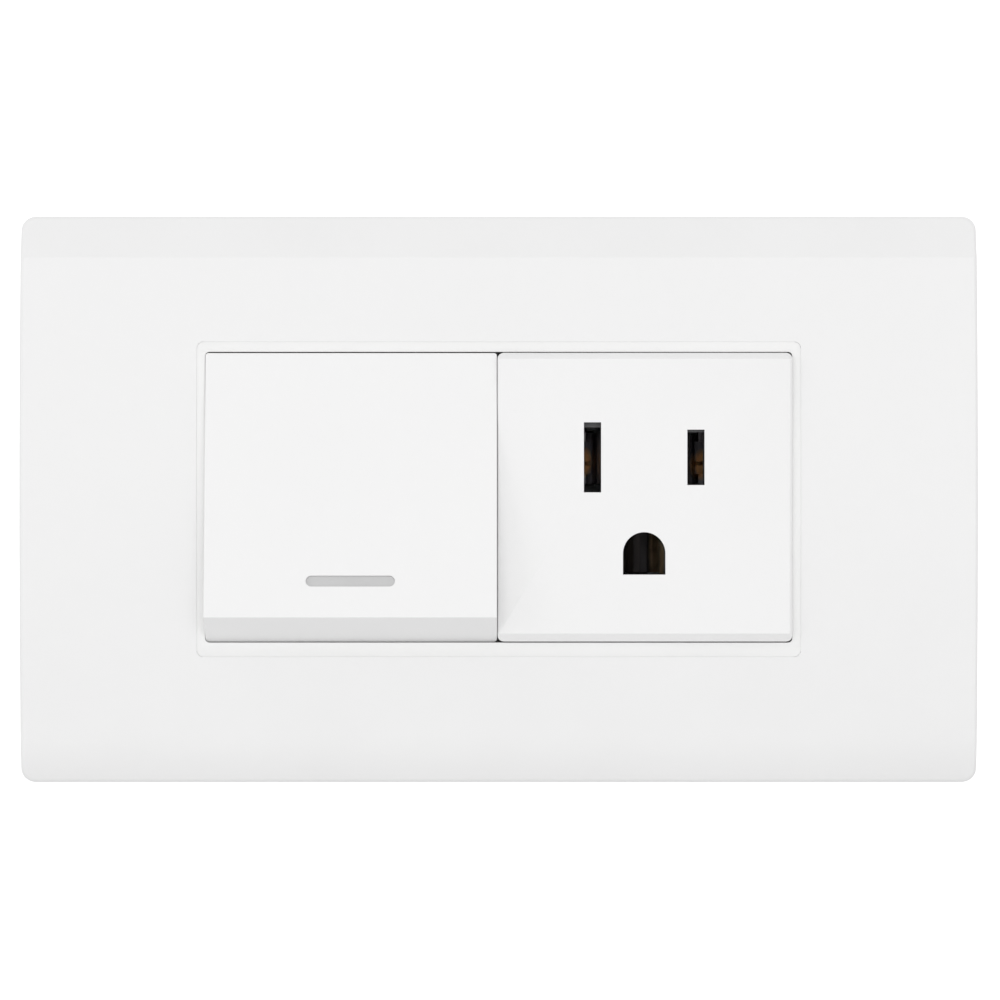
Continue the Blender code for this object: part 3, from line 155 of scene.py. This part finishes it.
def mouldedPlastic(name):
    look = plasticLooks[name]
    colour, roughness = look["colour"], look["roughness"]
    material, shader = plainShader(name, colour, roughness, 0.0)
    link = material.node_tree.links.new
    flow = noiseOn(material, look["flowScale"], pattern["flowDetail"])   # faint flow marks of the melt
    shaded = [channel * look["flowShade"] for channel in colour]
    link(shadeBetween(material, flow, shaded, colour), shader.inputs["Base Color"])
    low, high = roughness - look["spread"], roughness + look["spread"]
    link(numberBetween(material, flow, low, high), shader.inputs["Roughness"])
    fine = noiseOn(material, look["grainScale"], pattern["fineDetail"])
    grain(material, shader, fine, look["grainStrength"], look["grainDepth"])
    return material


def stampedMetal(name):
    look = metalLooks[name]
    material, shader = plainShader(name, look["colour"], look["roughness"], 1.0)
    link = material.node_tree.links.new
    tarnish = noiseOn(material, look["tarnishScale"], pattern["tarnishDetail"])
    link(shadeBetween(material, tarnish, look["tarnish"], look["colour"]), shader.inputs["Base Color"])
    # rolling lines of the sheet
    drawn = noiseOn(material, look["drawnScale"], pattern["drawnDetail"], look["stretch"])
    low, high = look["roughness"] - pattern["smoother"], look["roughness"] + pattern["rougher"]
    link(numberBetween(material, drawn, low, high), shader.inputs["Roughness"])
    grain(material, shader, drawn, pattern["drawnStrength"], pattern["drawnDepth"])
    return material


# a painted highlight on each contact, the glint seen down its slot, with painted shade all round it:
# place and reach of the glint along X and Z, and the grey of the painted shade around it
glintSpots = {
    "neutral_contact": {"look": "glintBrass", "x": 10.6 * mm, "z": 4.6 * mm,
                        "reachX": 1.3 * mm, "reachZ": 2.0 * mm, "dark": 0.32},
    "live_contact": {"look": "glintBrass", "x": 25.2 * mm, "z": 4.3 * mm,
                     "reachX": 1.15 * mm, "reachZ": 2.1 * mm, "dark": 0.32},
    "earth_contact": {"look": "paleGlintBrass", "x": 19.85 * mm, "z": -6.65 * mm,
                      "reachX": 1.05 * mm, "reachZ": 6.0 * mm, "dark": 0.15},
}
# where the painted glint fades into the painted shade, as shares of its reach, and the share of green in that
# shade
glintFade = {"start": 0.55, "end": 1.0, "green": 0.95}


def glintAndShadeContact(name):
    # a stamped contact with a painted highlight in one spot and painted shade round it
    spot = glintSpots[name]
    material = stampedMetal(spot["look"])
    material.name = name + "_glint_and_shade"
    tree = material.node_tree
    glintColour = tree.nodes["Color Ramp"].outputs["Color"]
    place, shift = tree.nodes.new("ShaderNodeTexCoord"), tree.nodes.new("ShaderNodeMapping")
    shift.inputs["Scale"].default_value = (1 / spot["reachX"], 0.0, 1 / spot["reachZ"])
    shift.inputs["Location"].default_value = (-spot["x"] / spot["reachX"], 0.0, -spot["z"] / spot["reachZ"])
    away = tree.nodes.new("ShaderNodeVectorMath")
    away.operation = "LENGTH"
    fade = rangeNode(tree, glintFade["start"], glintFade["end"], 0.0, 1.0)
    blend = tree.nodes.new("ShaderNodeMix")
    blend.data_type = "RGBA"
    # the grey of the painted shade round the glint
    dark = spot["dark"]
    blend.inputs["B"].default_value = (dark, dark * glintFade["green"], dark, 1.0)
    link = tree.links.new
    link(place.outputs["Object"], shift.inputs["Vector"])
    link(shift.outputs["Vector"], away.inputs[0])
    link(away.outputs["Value"], fade.inputs["Value"])
    link(fade.outputs["Result"], blend.inputs["Factor"])
    link(glintColour, blend.inputs["A"])
    link(blend.outputs["Result"], tree.nodes["Principled BSDF"].inputs["Base Color"])
    return material


finishes = {name: mouldedPlastic(name) for name in plasticLooks}
finishes.update({name: stampedMetal(name) for name in metalLooks})
finishes.update({name: glintAndShadeContact(name) for name in glintSpots})
slotFinishes = {"white_abs": "whiteAbs", "frame_white": "frameWhite", "grey_lens": "greyLens",
                "body_grey": "bodyGrey", "acetal": "acetal", "brass": "brass", "copper": "copper",
                "silver": "silver", "zinc_steel": "zincSteel"}
slotOf = {part["node"]: part["material_slot"] for part in frame["record"]["subparts"]}
for name, node in nodes.items():
    node.data.materials.clear()
    node.data.materials.append(finishes[name if name in glintSpots else slotFinishes[slotOf[name]]])
print("finishes made:", len(finishes))


# Mesh helpers

soften = {"sharper": 0.3, "profile": 0.5}   # edges that bend more than this many radians are softened
shading = {"edgeSteps": 2, "angle": 35, "evenWeight": 100}


def pushOut(bm, step):
    # thickens a flat outline along a step, and turns its faces outwards
    grown = bmesh.ops.extrude_face_region(bm, geom=list(bm.faces))["geom"]
    moved = [item for item in grown if isinstance(item, bmesh.types.BMVert)]
    bmesh.ops.translate(bm, vec=Vector(step), verts=moved)
    bmesh.ops.recalc_face_normals(bm, faces=list(bm.faces))
    if bm.calc_volume(signed=True) < 0:
        bmesh.ops.reverse_faces(bm, faces=list(bm.faces))
    return bm


def slabOf(corners, low, high, radius=0.0, segments=8, roundAbove=-1.0):
    # an outline of (x, z) corners, pushed out from Y high to Y low; the corners above a height are rounded
    bm = bmesh.new()
    bm.faces.new([bm.verts.new((x, high, z)) for x, z in corners])
    if radius:
        rounded = [v for v in bm.verts if v.co.z > roundAbove]
        bmesh.ops.bevel(bm, geom=rounded, offset=radius, segments=segments, profile=soften["profile"],
                        affect="VERTICES", material=-1)
    return pushOut(bm, (0, low - high, 0))


def plateCorners(xLow, xHigh, zLow, zHigh):
    return [(xLow, zLow), (xHigh, zLow), (xHigh, zHigh), (xLow, zHigh)]


def sectionOf(points, low, high):
    # a section of (y, z) points, pushed along X
    bm = bmesh.new()
    bm.faces.new([bm.verts.new((low, y, z)) for y, z in points])
    return pushOut(bm, (high - low, 0, 0))


def softenEdges(bm, chosen, width, segments):
    # bevels the sharp edges whose middle is chosen
    edges = [e for e in bm.edges if len(e.link_faces) == 2 and e.calc_face_angle(0) > soften["sharper"]
             and chosen((e.verts[0].co + e.verts[1].co) / 2)]
    bmesh.ops.bevel(bm, geom=edges, offset=width, offset_type="OFFSET", segments=segments,
                    profile=soften["profile"], affect="EDGES", clamp_overlap=True, material=-1)


def splitAt(bm, z):
    # a row of edges at one height, so that the shape can bend there
    bmesh.ops.bisect_plane(bm, geom=bm.verts[:] + bm.edges[:] + bm.faces[:], dist=onPlane,
                           plane_co=Vector((0, 0, z)), plane_no=Vector((0, 0, 1)))


def looseObject(name, bm):
    mesh = bpy.data.meshes.new(name)
    bm.to_mesh(mesh)
    bm.free()
    obj = bpy.data.objects.new(name, mesh)
    bpy.context.scene.collection.objects.link(obj)
    return obj


def workShape(piece, operation, *solids):
    # cuts or joins the solids one after the other, and keeps the result as the piece's own mesh
    for bm in solids:
        tool = looseObject("tool", bm)
        change = piece.modifiers.new("change", "BOOLEAN")
        change.operation, change.solver, change.object = operation, "EXACT", tool
        bpy.context.view_layer.update()
        done = bpy.data.meshes.new_from_object(piece.evaluated_get(bpy.context.evaluated_depsgraph_get()))
        piece.modifiers.clear()
        piece.data = done
        bpy.data.objects.remove(tool, do_unlink=True)
    return piece


def cutFrom(piece, *solids):
    return workShape(piece, "DIFFERENCE", *solids)


def joinTo(piece, *solids):
    return workShape(piece, "UNION", *solids)


def dress(piece, finish, body, node, edge=0.0, angle=shading["angle"]):
    # finish, smooth shading with kept creases, soft edges, and the piece's place in the frame
    piece.data.materials.clear()
    piece.data.materials.append(finishes[finish])
    piece.data.polygons.foreach_set("use_smooth", [True] * len(piece.data.polygons))
    if edge:
        soft = piece.modifiers.new("softEdges", "BEVEL")
        soft.width, soft.segments, soft.limit_method = edge, shading["edgeSteps"], "ANGLE"
        soft.angle_limit, soft.use_clamp_overlap, soft.harden_normals = math.radians(angle), True, True
    else:
        piece.data.set_sharp_from_angle(angle=math.radians(angle))
        even = piece.modifiers.new("evenNormals", "WEIGHTED_NORMAL")
        even.keep_sharp, even.weight = True, shading["evenWeight"]
    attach(piece, body)
    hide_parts(node)
    return piece


# Cover: an arched shell with a sloped band above and a soft roll below

cover = {"halfX": 59 * mm, "halfZ": 35 * mm, "height": 9.0 * mm, "wall": 1.8 * mm, "corner": 1.7 * mm,
         "cornerSteps": 10, "edge": 0.5 * mm, "edgeSteps": 9, "creaseAngle": 11.5,
         "crownRadius": 285 * mm, "topBand": 5.2 * mm, "topSlope": 0.26,
         "bottomRoll": 5.0 * mm, "bottomDrop": 1.3 * mm, "rowStep": 1.0 * mm,
         "windowX": 37.18 * mm, "windowZ": 19.405 * mm, "windowCorner": 0.8 * mm,
         "windowFront": 12 * mm, "windowBack": 3 * mm,
         "ribX": (50.6 * mm, 46.6 * mm), "ribHalfZ": 28.4 * mm, "ribWidth": 1.0 * mm, "ribDepth": 1.4 * mm,
         "hookX": 30 * mm, "hookWidth": 7.0 * mm, "hookInner": 30.4 * mm, "hookWall": 1.2 * mm,
         "hookEnd": 1.0 * mm, "hookCatch": 2.2 * mm, "hookNose": 0.9 * mm,
         "notchWidth": 8.0 * mm, "notchHeight": 2.8 * mm, "notchDepth": 1.4 * mm}
crownStart = {"flat": -5 * mm, "frontBelow": -2 * mm}   # the slab before its front takes the crown's shape


def crownHeight(z):
    # how far the cover's front stands out at a height up the plate
    height = cover["height"] - z * z / (2 * cover["crownRadius"])
    bandStart = cover["halfZ"] - cover["topBand"]
    rollStart = cover["bottomRoll"] - cover["halfZ"]
    if z > bandStart:
        height -= (z - bandStart) * cover["topSlope"]
    if z < rollStart:
        height -= cover["bottomDrop"] * ((rollStart - z) / cover["bottomRoll"]) ** 2
    return height


def crownSlab(corners, drop, backDrop=None, radius=0.0, edge=0.0):
    # a slab whose front follows the crown, lowered by drop; its back is flat unless backDrop is given
    flat = crownStart["flat"]
    back = past if backDrop is None and drop else 0.0
    bm = slabOf(corners, flat, back, radius, cover["cornerSteps"])
    if edge:
        softenEdges(bm, lambda middle: middle.y < flat + 10 * near, edge, cover["edgeSteps"])
    low, high = min(z for x, z in corners), max(z for x, z in corners)
    rows = [low + cover["rowStep"] * i for i in range(1, int((high - low) / cover["rowStep"]))]
    crease = cover["halfZ"] - cover["topBand"]
    rows = [z for z in rows if abs(z - crease) > cover["rowStep"] / 2] + [crease]
    for z in rows:
        if low < z < high:
            splitAt(bm, z)
    for v in bm.verts:
        if v.co.y < crownStart["frontBelow"]:
            v.co.y += drop - flat - crownHeight(v.co.z)
        elif backDrop is not None:
            v.co.y = -(crownHeight(v.co.z) - backDrop)
    return bm


def makeCover():
    halfX, halfZ, wall = cover["halfX"], cover["halfZ"], cover["wall"]
    bm = crownSlab(plateCorners(-halfX, halfX, -halfZ, halfZ), 0.0, None, cover["corner"], cover["edge"])
    shell = looseObject("coverShell", bm)
    cutFrom(shell, crownSlab(plateCorners(wall - halfX, halfX - wall, wall - halfZ, halfZ - wall), wall))
    for x in cover["ribX"]:
        for side in (-1, 1):
            half, long = cover["ribWidth"] / 2, cover["ribHalfZ"]
            joinTo(shell, crownSlab(plateCorners(side * x - half, side * x + half, -long, long),
                                    wall - sunk, wall + cover["ribDepth"]))
    for x in (-cover["hookX"], cover["hookX"]):
        for side in (-1, 1):
            inner, outer = cover["hookInner"], cover["hookInner"] + cover["hookWall"]
            root = -(crownHeight(side * (inner + outer) / 2) - wall + sunk)
            catch, end, half = -cover["hookCatch"], -cover["hookEnd"], cover["hookWidth"] / 2
            hook = [(root, inner), (catch, inner), (catch, inner - cover["hookNose"]), (end, inner),
                    (end, outer), (root, outer)]
            joinTo(shell, sectionOf([(y, side * z) for y, z in hook], x - half, x + half))
    window = plateCorners(-cover["windowX"], cover["windowX"], -cover["windowZ"], cover["windowZ"])
    cutFrom(shell, slabOf(window, -cover["windowFront"], -cover["windowBack"], cover["windowCorner"]))
    notch = cover["notchWidth"] / 2
    notchOutline = plateCorners(-notch, notch, -halfZ - past, cover["notchHeight"] - halfZ)
    cutFrom(shell, slabOf(notchOutline, -cover["notchDepth"], past))
    return dress(shell, "coverWhite", "wall_unit", "cover_plate", angle=cover["creaseAngle"])


coverShell = makeCover()
print("cover made:", len(coverShell.data.polygons), "faces")


# Rocker key: a hollow wedge with its lower edge proud, and the indicator bar let into it

key = {"left": -36.09 * mm, "right": -0.205 * mm, "middleX": -18.15 * mm,
       "top": 18.0 * mm, "bottom": -17.55 * mm, "topHeight": 8.6 * mm, "proudHeight": 13.16 * mm,
       "strip": 3.1 * mm, "stripHeight": 7.7 * mm, "skirtHeight": 6.1 * mm,
       "wall": 1.5 * mm, "tilt": 4.5, "edge": 0.35 * mm, "edgeSteps": 4, "edgeBand": 0.4 * mm,
       "corner": 0.4 * mm, "creaseAngle": 25, "openBack": 6 * mm,
       "ribInner": 11.1 * mm, "ribWidth": 1.0 * mm, "pivotHeight": 6.5 * mm, "ribGap": 1.6 * mm,
       "ribLow": -14.5 * mm, "ribHigh": 15.0 * mm}
bar = {"z": -10.0 * mm, "length": 10.9 * mm, "width": 1.34 * mm, "recess": 0.3 * mm, "fit": 0.012 * mm,
       "flange": 0.8 * mm, "flangeThick": 1.0 * mm, "endSteps": 12, "edge": 0.08 * mm, "creaseAngle": 40}


def keySection():
    # from the top front edge down over the bevelled strip and back along the skirt, as (y, z)
    half = (key["top"] - key["bottom"]) / 2
    slope = math.tan(math.radians(key["tilt"]))
    return [(-key["topHeight"], key["top"]), (-key["proudHeight"], key["bottom"] + key["strip"]),
            (-key["stripHeight"], key["bottom"]), (-key["skirtHeight"] - half * slope, key["bottom"]),
            (-key["skirtHeight"] + half * slope, key["top"])]


def keyFront(z):
    # how far the leaning face stands out at a height up the key
    top, proud = keySection()[:2]
    return -(top[0] + (top[1] - z) / (top[1] - proud[1]) * (proud[0] - top[0]))


def keyLean():
    top, proud = keySection()[:2]
    return math.atan2(top[0] - proud[0], top[1] - proud[1])


def insetSection(points, distance):
    # the same section, every side moved in by a distance
    bm = bmesh.new()
    face = bm.faces.new([bm.verts.new((0, y, z)) for y, z in points])
    bm.normal_update()
    bmesh.ops.inset_individual(bm, faces=[face], thickness=distance, use_even_offset=True)
    inner = [(v.co.y, v.co.z) for v in face.verts]
    bm.free()
    return inner


def barSolid(growth, flange, front, back):
    # the rounded bar, square to the key's leaning face, between two heights
    length, width = (bar["length"] + growth) / 2, (bar["width"] + growth + flange) / 2
    level = keyFront(bar["z"])
    outline = plateCorners(-length, length, -width, width)
    bm = slabOf(outline, level - front, level - back, width * wholeRound, bar["endSteps"])
    bmesh.ops.rotate(bm, matrix=Matrix.Rotation(-keyLean(), 3, "X"), verts=bm.verts)
    bmesh.ops.translate(bm, vec=Vector((key["middleX"], -level, bar["z"])), verts=bm.verts)
    return bm


def makeKey():
    bm = sectionOf(keySection(), key["left"], key["right"])
    softenEdges(bm, lambda middle: middle.y < -(key["topHeight"] - key["edgeBand"]), key["edge"],
                key["edgeSteps"])
    body = looseObject("keyShell", bm)
    outline = plateCorners(key["left"], key["right"], key["bottom"], key["top"])
    workShape(body, "INTERSECT", slabOf(outline, -key["proudHeight"] - past, past, key["corner"]))
    front, back = keySection()[:3], keySection()[3:]
    cavity = insetSection([*front, *[(y + key["openBack"], z) for y, z in back]], key["wall"])
    inner, outer = key["ribInner"], key["ribInner"] + key["ribWidth"]
    for low, high in ((key["left"] + key["wall"], key["middleX"] - outer),
                      (key["middleX"] - inner, key["middleX"] + inner),
                      (key["middleX"] + outer, key["right"] - key["wall"])):
        cutFrom(body, sectionOf(cavity, low, high))
    ribBack = -key["pivotHeight"] - key["ribGap"]
    cutFrom(body, slabOf(plateCorners(key["left"] + 2 * key["wall"], key["right"] - 2 * key["wall"],
                                      key["ribLow"], key["ribHigh"]), ribBack, past))
    cutFrom(body, barSolid(0, 0, key["proudHeight"] + past, key["skirtHeight"]))
    return dress(body, "whiteAbs", "rocker", "rocker_key", angle=key["creaseAngle"])


def makeBar():
    front = keyFront(bar["z"]) - bar["recess"]
    seat = keyFront(bar["z"]) - key["wall"] - bar["fit"] * 2
    body = looseObject("indicatorBar", barSolid(-2 * bar["fit"], 0, front, seat - bar["flangeThick"] / 2))
    joinTo(body, barSolid(bar["flange"], bar["flange"], seat, seat - bar["flangeThick"]))
    return dress(body, "greyLens", "rocker", "indicator_strip", bar["edge"], bar["creaseAngle"])


keyShell = makeKey()
indicatorBar = makeBar()
print("key made:", len(keyShell.data.polygons), "faces")


# Outlet front: a tub with chamfered edges, two blade slots, the earth hole and their guide walls

outlet = {"left": -0.145 * mm, "right": 36.13 * mm, "middleX": 17.875 * mm,
          "top": 18.02 * mm, "bottom": -17.5 * mm, "height": 9.7 * mm, "skirt": 2.8 * mm,
          "wall": 2.0 * mm, "corner": 0.8 * mm, "leftEdge": 0.2 * mm, "rightEdge": 0.45 * mm,
          "edgeSteps": 3, "rimEdge": 0.06 * mm, "creaseAngle": 40, "frontDepth": 0.1 * mm,
          "chamferTop": 0.75 * mm, "chamferBottom": 1.0 * mm, "chamferDepth": 0.9 * mm,
          "slotSpacing": 12.7 * mm, "slotWidth": 2.1 * mm, "slotZ": 5.15 * mm,
          "neutralLength": 8.6 * mm, "liveLength": 6.8 * mm,
          "stepHeight": 8.2 * mm, "neutralStep": 0.6 * mm, "liveStep": 0.3 * mm,
          "earthRadius": 2.6 * mm, "earthZ": -6.65 * mm, "archSteps": 16,
          "guideWall": 1.0 * mm, "guideBack": 5.0 * mm, "passageReach": 0.05 * mm}


def slotPlaces():
    half = outlet["slotSpacing"] / 2
    return ((outlet["middleX"] - half, outlet["neutralLength"]),
            (outlet["middleX"] + half, outlet["liveLength"]))


def slotSolid(x, length, growth, low, high):
    halfX, halfZ = outlet["slotWidth"] / 2 + growth, length / 2 + growth
    z = outlet["slotZ"]
    return slabOf(plateCorners(x - halfX, x + halfX, z - halfZ, z + halfZ), low, high)


def earthSolid(growth, low, high):
    # round above, square below
    radius, x, z = outlet["earthRadius"] + growth, outlet["middleX"], outlet["earthZ"]
    outline = plateCorners(x - radius, x + radius, z - radius, z + radius)
    return slabOf(outline, low, high, radius * wholeRound, outlet["archSteps"], z)


def steppedSlot(x, length, step):
    # a slot whose passage behind the face is lower at its top
    front, ledge, back = -outlet["height"] - past, -outlet["stepHeight"], past
    high, low = outlet["slotZ"] + length / 2, outlet["slotZ"] - length / 2
    half = outlet["slotWidth"] / 2
    return sectionOf([(front, high), (ledge, high), (ledge, high - step), (back, high - step),
                      (back, low), (front, low)], x - half, x + half)


def insidePassage(spot):
    # whether a face's middle lies on the wall of a slot or of the earth hole, where shade is painted
    reach = outlet["passageReach"]
    if spot.y < outlet["frontDepth"] - outlet["height"]:
        return False
    fromEarth = max(abs(spot.x - outlet["middleX"]), abs(spot.z - outlet["earthZ"]))
    if fromEarth < outlet["earthRadius"] + reach:
        return True
    half, z = outlet["slotWidth"] / 2 + reach, outlet["slotZ"]
    return any(abs(spot.x - x) < half and abs(spot.z - z) < length / 2 + reach for x, length in slotPlaces())


def makeOutletFront():
    left, right, low, high = outlet["left"], outlet["right"], outlet["bottom"], outlet["top"]
    front, wall, depth = -outlet["height"], outlet["wall"], outlet["chamferDepth"]
    skirt = -outlet["skirt"]
    bm = sectionOf([(skirt, high), (front + depth, high), (front, high - outlet["chamferTop"]),
                    (front, low + outlet["chamferBottom"]), (front + depth, low), (skirt, low)], left, right)
    level, steps = front + depth - near, outlet["edgeSteps"]
    softenEdges(bm, lambda middle: middle.y < level and middle.x < left + near, outlet["leftEdge"], steps)
    softenEdges(bm, lambda middle: middle.y < level and middle.x > right - near, outlet["rightEdge"], steps)
    body = looseObject("outletFront", bm)
    outline = plateCorners(left, right, low, high)
    workShape(body, "INTERSECT", slabOf(outline, front - past, past, outlet["corner"]))
    hollow = plateCorners(left + wall, right - wall, low + wall, high - wall)
    cutFrom(body, slabOf(hollow, front + wall, past))
    guide = (front + wall - sunk, -outlet["guideBack"])
    for x, length in slotPlaces():
        joinTo(body, slotSolid(x, length, outlet["guideWall"], *guide))
    joinTo(body, earthSolid(outlet["guideWall"], *guide))
    for (x, length), step in zip(slotPlaces(), (outlet["neutralStep"], outlet["liveStep"])):
        cutFrom(body, steppedSlot(x, length, step))
    cutFrom(body, earthSolid(0.0, front - past, past))
    dress(body, "whiteAbs", "wall_unit", "socket_face", outlet["rimEdge"], outlet["creaseAngle"])
    body.data.materials.append(finishes["passageShadeGrey"])
    for face in body.data.polygons:   # the passages behind the face get dark grey as painted shade
        if insidePassage(face.center):
            face.material_index = 1
    return body


outletFront = makeOutletFront()
print("outlet front made:", len(outletFront.data.polygons), "faces")


# Mounting frame: the CAD frame's own shape, its collar brought level with the cover's crown

collar = {"height": 8.7 * mm, "frontDepth": 0.1 * mm, "halfZ": 19.4 * mm, "drop": 0.03 * mm,
          "rowStep": 1.5 * mm, "edge": 0.035 * mm}
plain = {"flatAngle": 1.0, "creaseAngle": 40, "bodyEdge": 0.1 * mm}


def plainCopy(node):
    # a CAD node's own shape, its points merged and its flat triangles joined
    bm = bmesh.new()
    bm.from_mesh(nodes[node].data)
    bmesh.ops.remove_doubles(bm, verts=bm.verts, dist=near)
    bmesh.ops.dissolve_limit(bm, angle_limit=math.radians(plain["flatAngle"]), verts=bm.verts, edges=bm.edges)
    return bm


def makeFrame():
    bm = plainCopy("mounting_frame")
    z = collar["rowStep"] - collar["halfZ"]
    while z < collar["halfZ"]:
        splitAt(bm, z)
        z += collar["rowStep"]
    for v in bm.verts:
        if v.co.y < collar["frontDepth"] - collar["height"]:
            v.co.y = collar["drop"] - crownHeight(v.co.z)
    return dress(looseObject("frameTray", bm), "frameWhite", "wall_unit", "mounting_frame",
                 collar["edge"], plain["creaseAngle"])


frameTray = makeFrame()
for name, piece in (("switch_housing", "switchBody"), ("socket_housing", "outletBody")):
    dress(looseObject(piece, plainCopy(name)), "bodyGrey", "wall_unit", name,
          plain["bodyEdge"], plain["creaseAngle"])
print("frame and housings made:", len(frameTray.data.polygons), "faces in the frame")


# Plunger's spring: a coil in the carrier's tube

coil = {"pivot": (-18.15 * mm, -6.5 * mm, 0.25 * mm), "tilt": 4.5, "start": 1.58 * mm, "end": 5.22 * mm,
        "radius": 1.2 * mm, "wire": 0.18 * mm, "wireSides": 10, "turns": 5, "stepsPerTurn": 32, "kept": 0.8}


def makeSpring():
    steps = coil["turns"] * coil["stepsPerTurn"]
    bm = bmesh.new()
    ring = bmesh.ops.create_circle(bm, cap_ends=False, segments=coil["wireSides"],
                                   radius=coil["wire"])["verts"]
    bmesh.ops.translate(bm, vec=Vector((coil["radius"], coil["start"], 0)), verts=ring)
    rise = (0, (coil["end"] - coil["start"]) / steps, 0)
    bmesh.ops.spin(bm, geom=bm.verts[:] + bm.edges[:], cent=(0, 0, 0), axis=(0, 1, 0), dvec=rise,
                   angle=2 * math.pi * coil["turns"], steps=steps)
    bmesh.ops.holes_fill(bm, edges=[e for e in bm.edges if e.is_boundary], sides=0)
    bmesh.ops.recalc_face_normals(bm, faces=bm.faces[:])
    turn = Matrix.Rotation(-math.radians(coil["tilt"]), 3, "X")
    bmesh.ops.rotate(bm, matrix=turn, verts=bm.verts)
    bmesh.ops.translate(bm, vec=Vector(coil["pivot"]), verts=bm.verts)
    spring = dress(looseObject("plungerSpring", bm), "zincSteel", "rocker", "toggle_spring")
    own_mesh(spring)
    return spring


plungerSpring = makeSpring()
print("spring made:", len(plungerSpring.data.polygons), "faces")


# Studio

studio = {"floorZ": -0.38, "backY": 3.0, "size": 9.0, "worldStrength": 0.80,
          "floorGrey": 0.80, "paperGrey": 0.9, "paperGlow": 0.45, "matt": 0.9,
          "keyWatts": 1.8, "keySize": 0.7, "keyPlace": (-1.45, -0.78, 0.25),
          "fillWatts": 17.2, "fillSize": 2.6, "fillPlace": (0.10, -2.10, 0.06)}


def matPaint(name, grey, glow):
    material, shader = plainShader(name, (grey, grey, grey), studio["matt"], 0.0)
    shader.inputs["Emission Color"].default_value = (1.0, 1.0, 1.0, 1.0)
    shader.inputs["Emission Strength"].default_value = glow
    return material


def flatPanel(name, place, turn, material):
    bm = bmesh.new()
    bmesh.ops.create_grid(bm, x_segments=1, y_segments=1, size=studio["size"] / 2)
    bmesh.ops.rotate(bm, matrix=Matrix.Rotation(turn, 3, "X"), verts=bm.verts)
    bmesh.ops.translate(bm, vec=Vector(place), verts=bm.verts)
    panel = looseObject(name, bm)
    panel.data.materials.append(material)


def softLight(name, place, watts, size):
    light = bpy.data.lights.new(name, "AREA")
    light.energy, light.size, light.shape = watts, size, "DISK"
    lamp = bpy.data.objects.new(name, light)
    lamp.location = place
    lamp.rotation_euler = (-Vector(place)).to_track_quat("-Z", "Y").to_euler()
    bpy.context.scene.collection.objects.link(lamp)


def makeStudio():
    floorPaint = matPaint("floorPaint", studio["floorGrey"], 0.0)
    flatPanel("paleFloor", (0, 0, studio["floorZ"]), 0.0, floorPaint)
    paper = matPaint("backdropPaper", studio["paperGrey"], studio["paperGlow"])
    flatPanel("backdrop", (0, studio["backY"], 0), math.pi / 2, paper)
    softLight("keyLight", studio["keyPlace"], studio["keyWatts"], studio["keySize"])
    softLight("fillLight", studio["fillPlace"], studio["fillWatts"], studio["fillSize"])
    world = bpy.data.worlds.new("studioAir")
    world.use_nodes = True
    world.node_tree.nodes["Background"].inputs["Color"].default_value = (1.0, 1.0, 1.0, 1.0)
    world.node_tree.nodes["Background"].inputs["Strength"].default_value = studio["worldStrength"]
    bpy.context.scene.world = world
    bpy.context.scene.view_settings.view_transform = "Standard"


view = {"lens": 175.65, "sensor": 36.0, "nearest": 0.01, "place": (0.16 * mm, -609 * mm, -0.09 * mm),
        "turn": (math.pi / 2, 0, 0)}   # straight on, as the photograph is taken


def makeCamera():
    lens = bpy.data.cameras.new("camera")
    lens.lens, lens.sensor_width, lens.clip_start = view["lens"], view["sensor"], view["nearest"]
    camera = bpy.data.objects.new("camera", lens)
    camera.location, camera.rotation_euler = view["place"], view["turn"]
    bpy.context.scene.collection.objects.link(camera)
    bpy.context.scene.camera = camera


makeStudio()
makeCamera()
print("studio set")
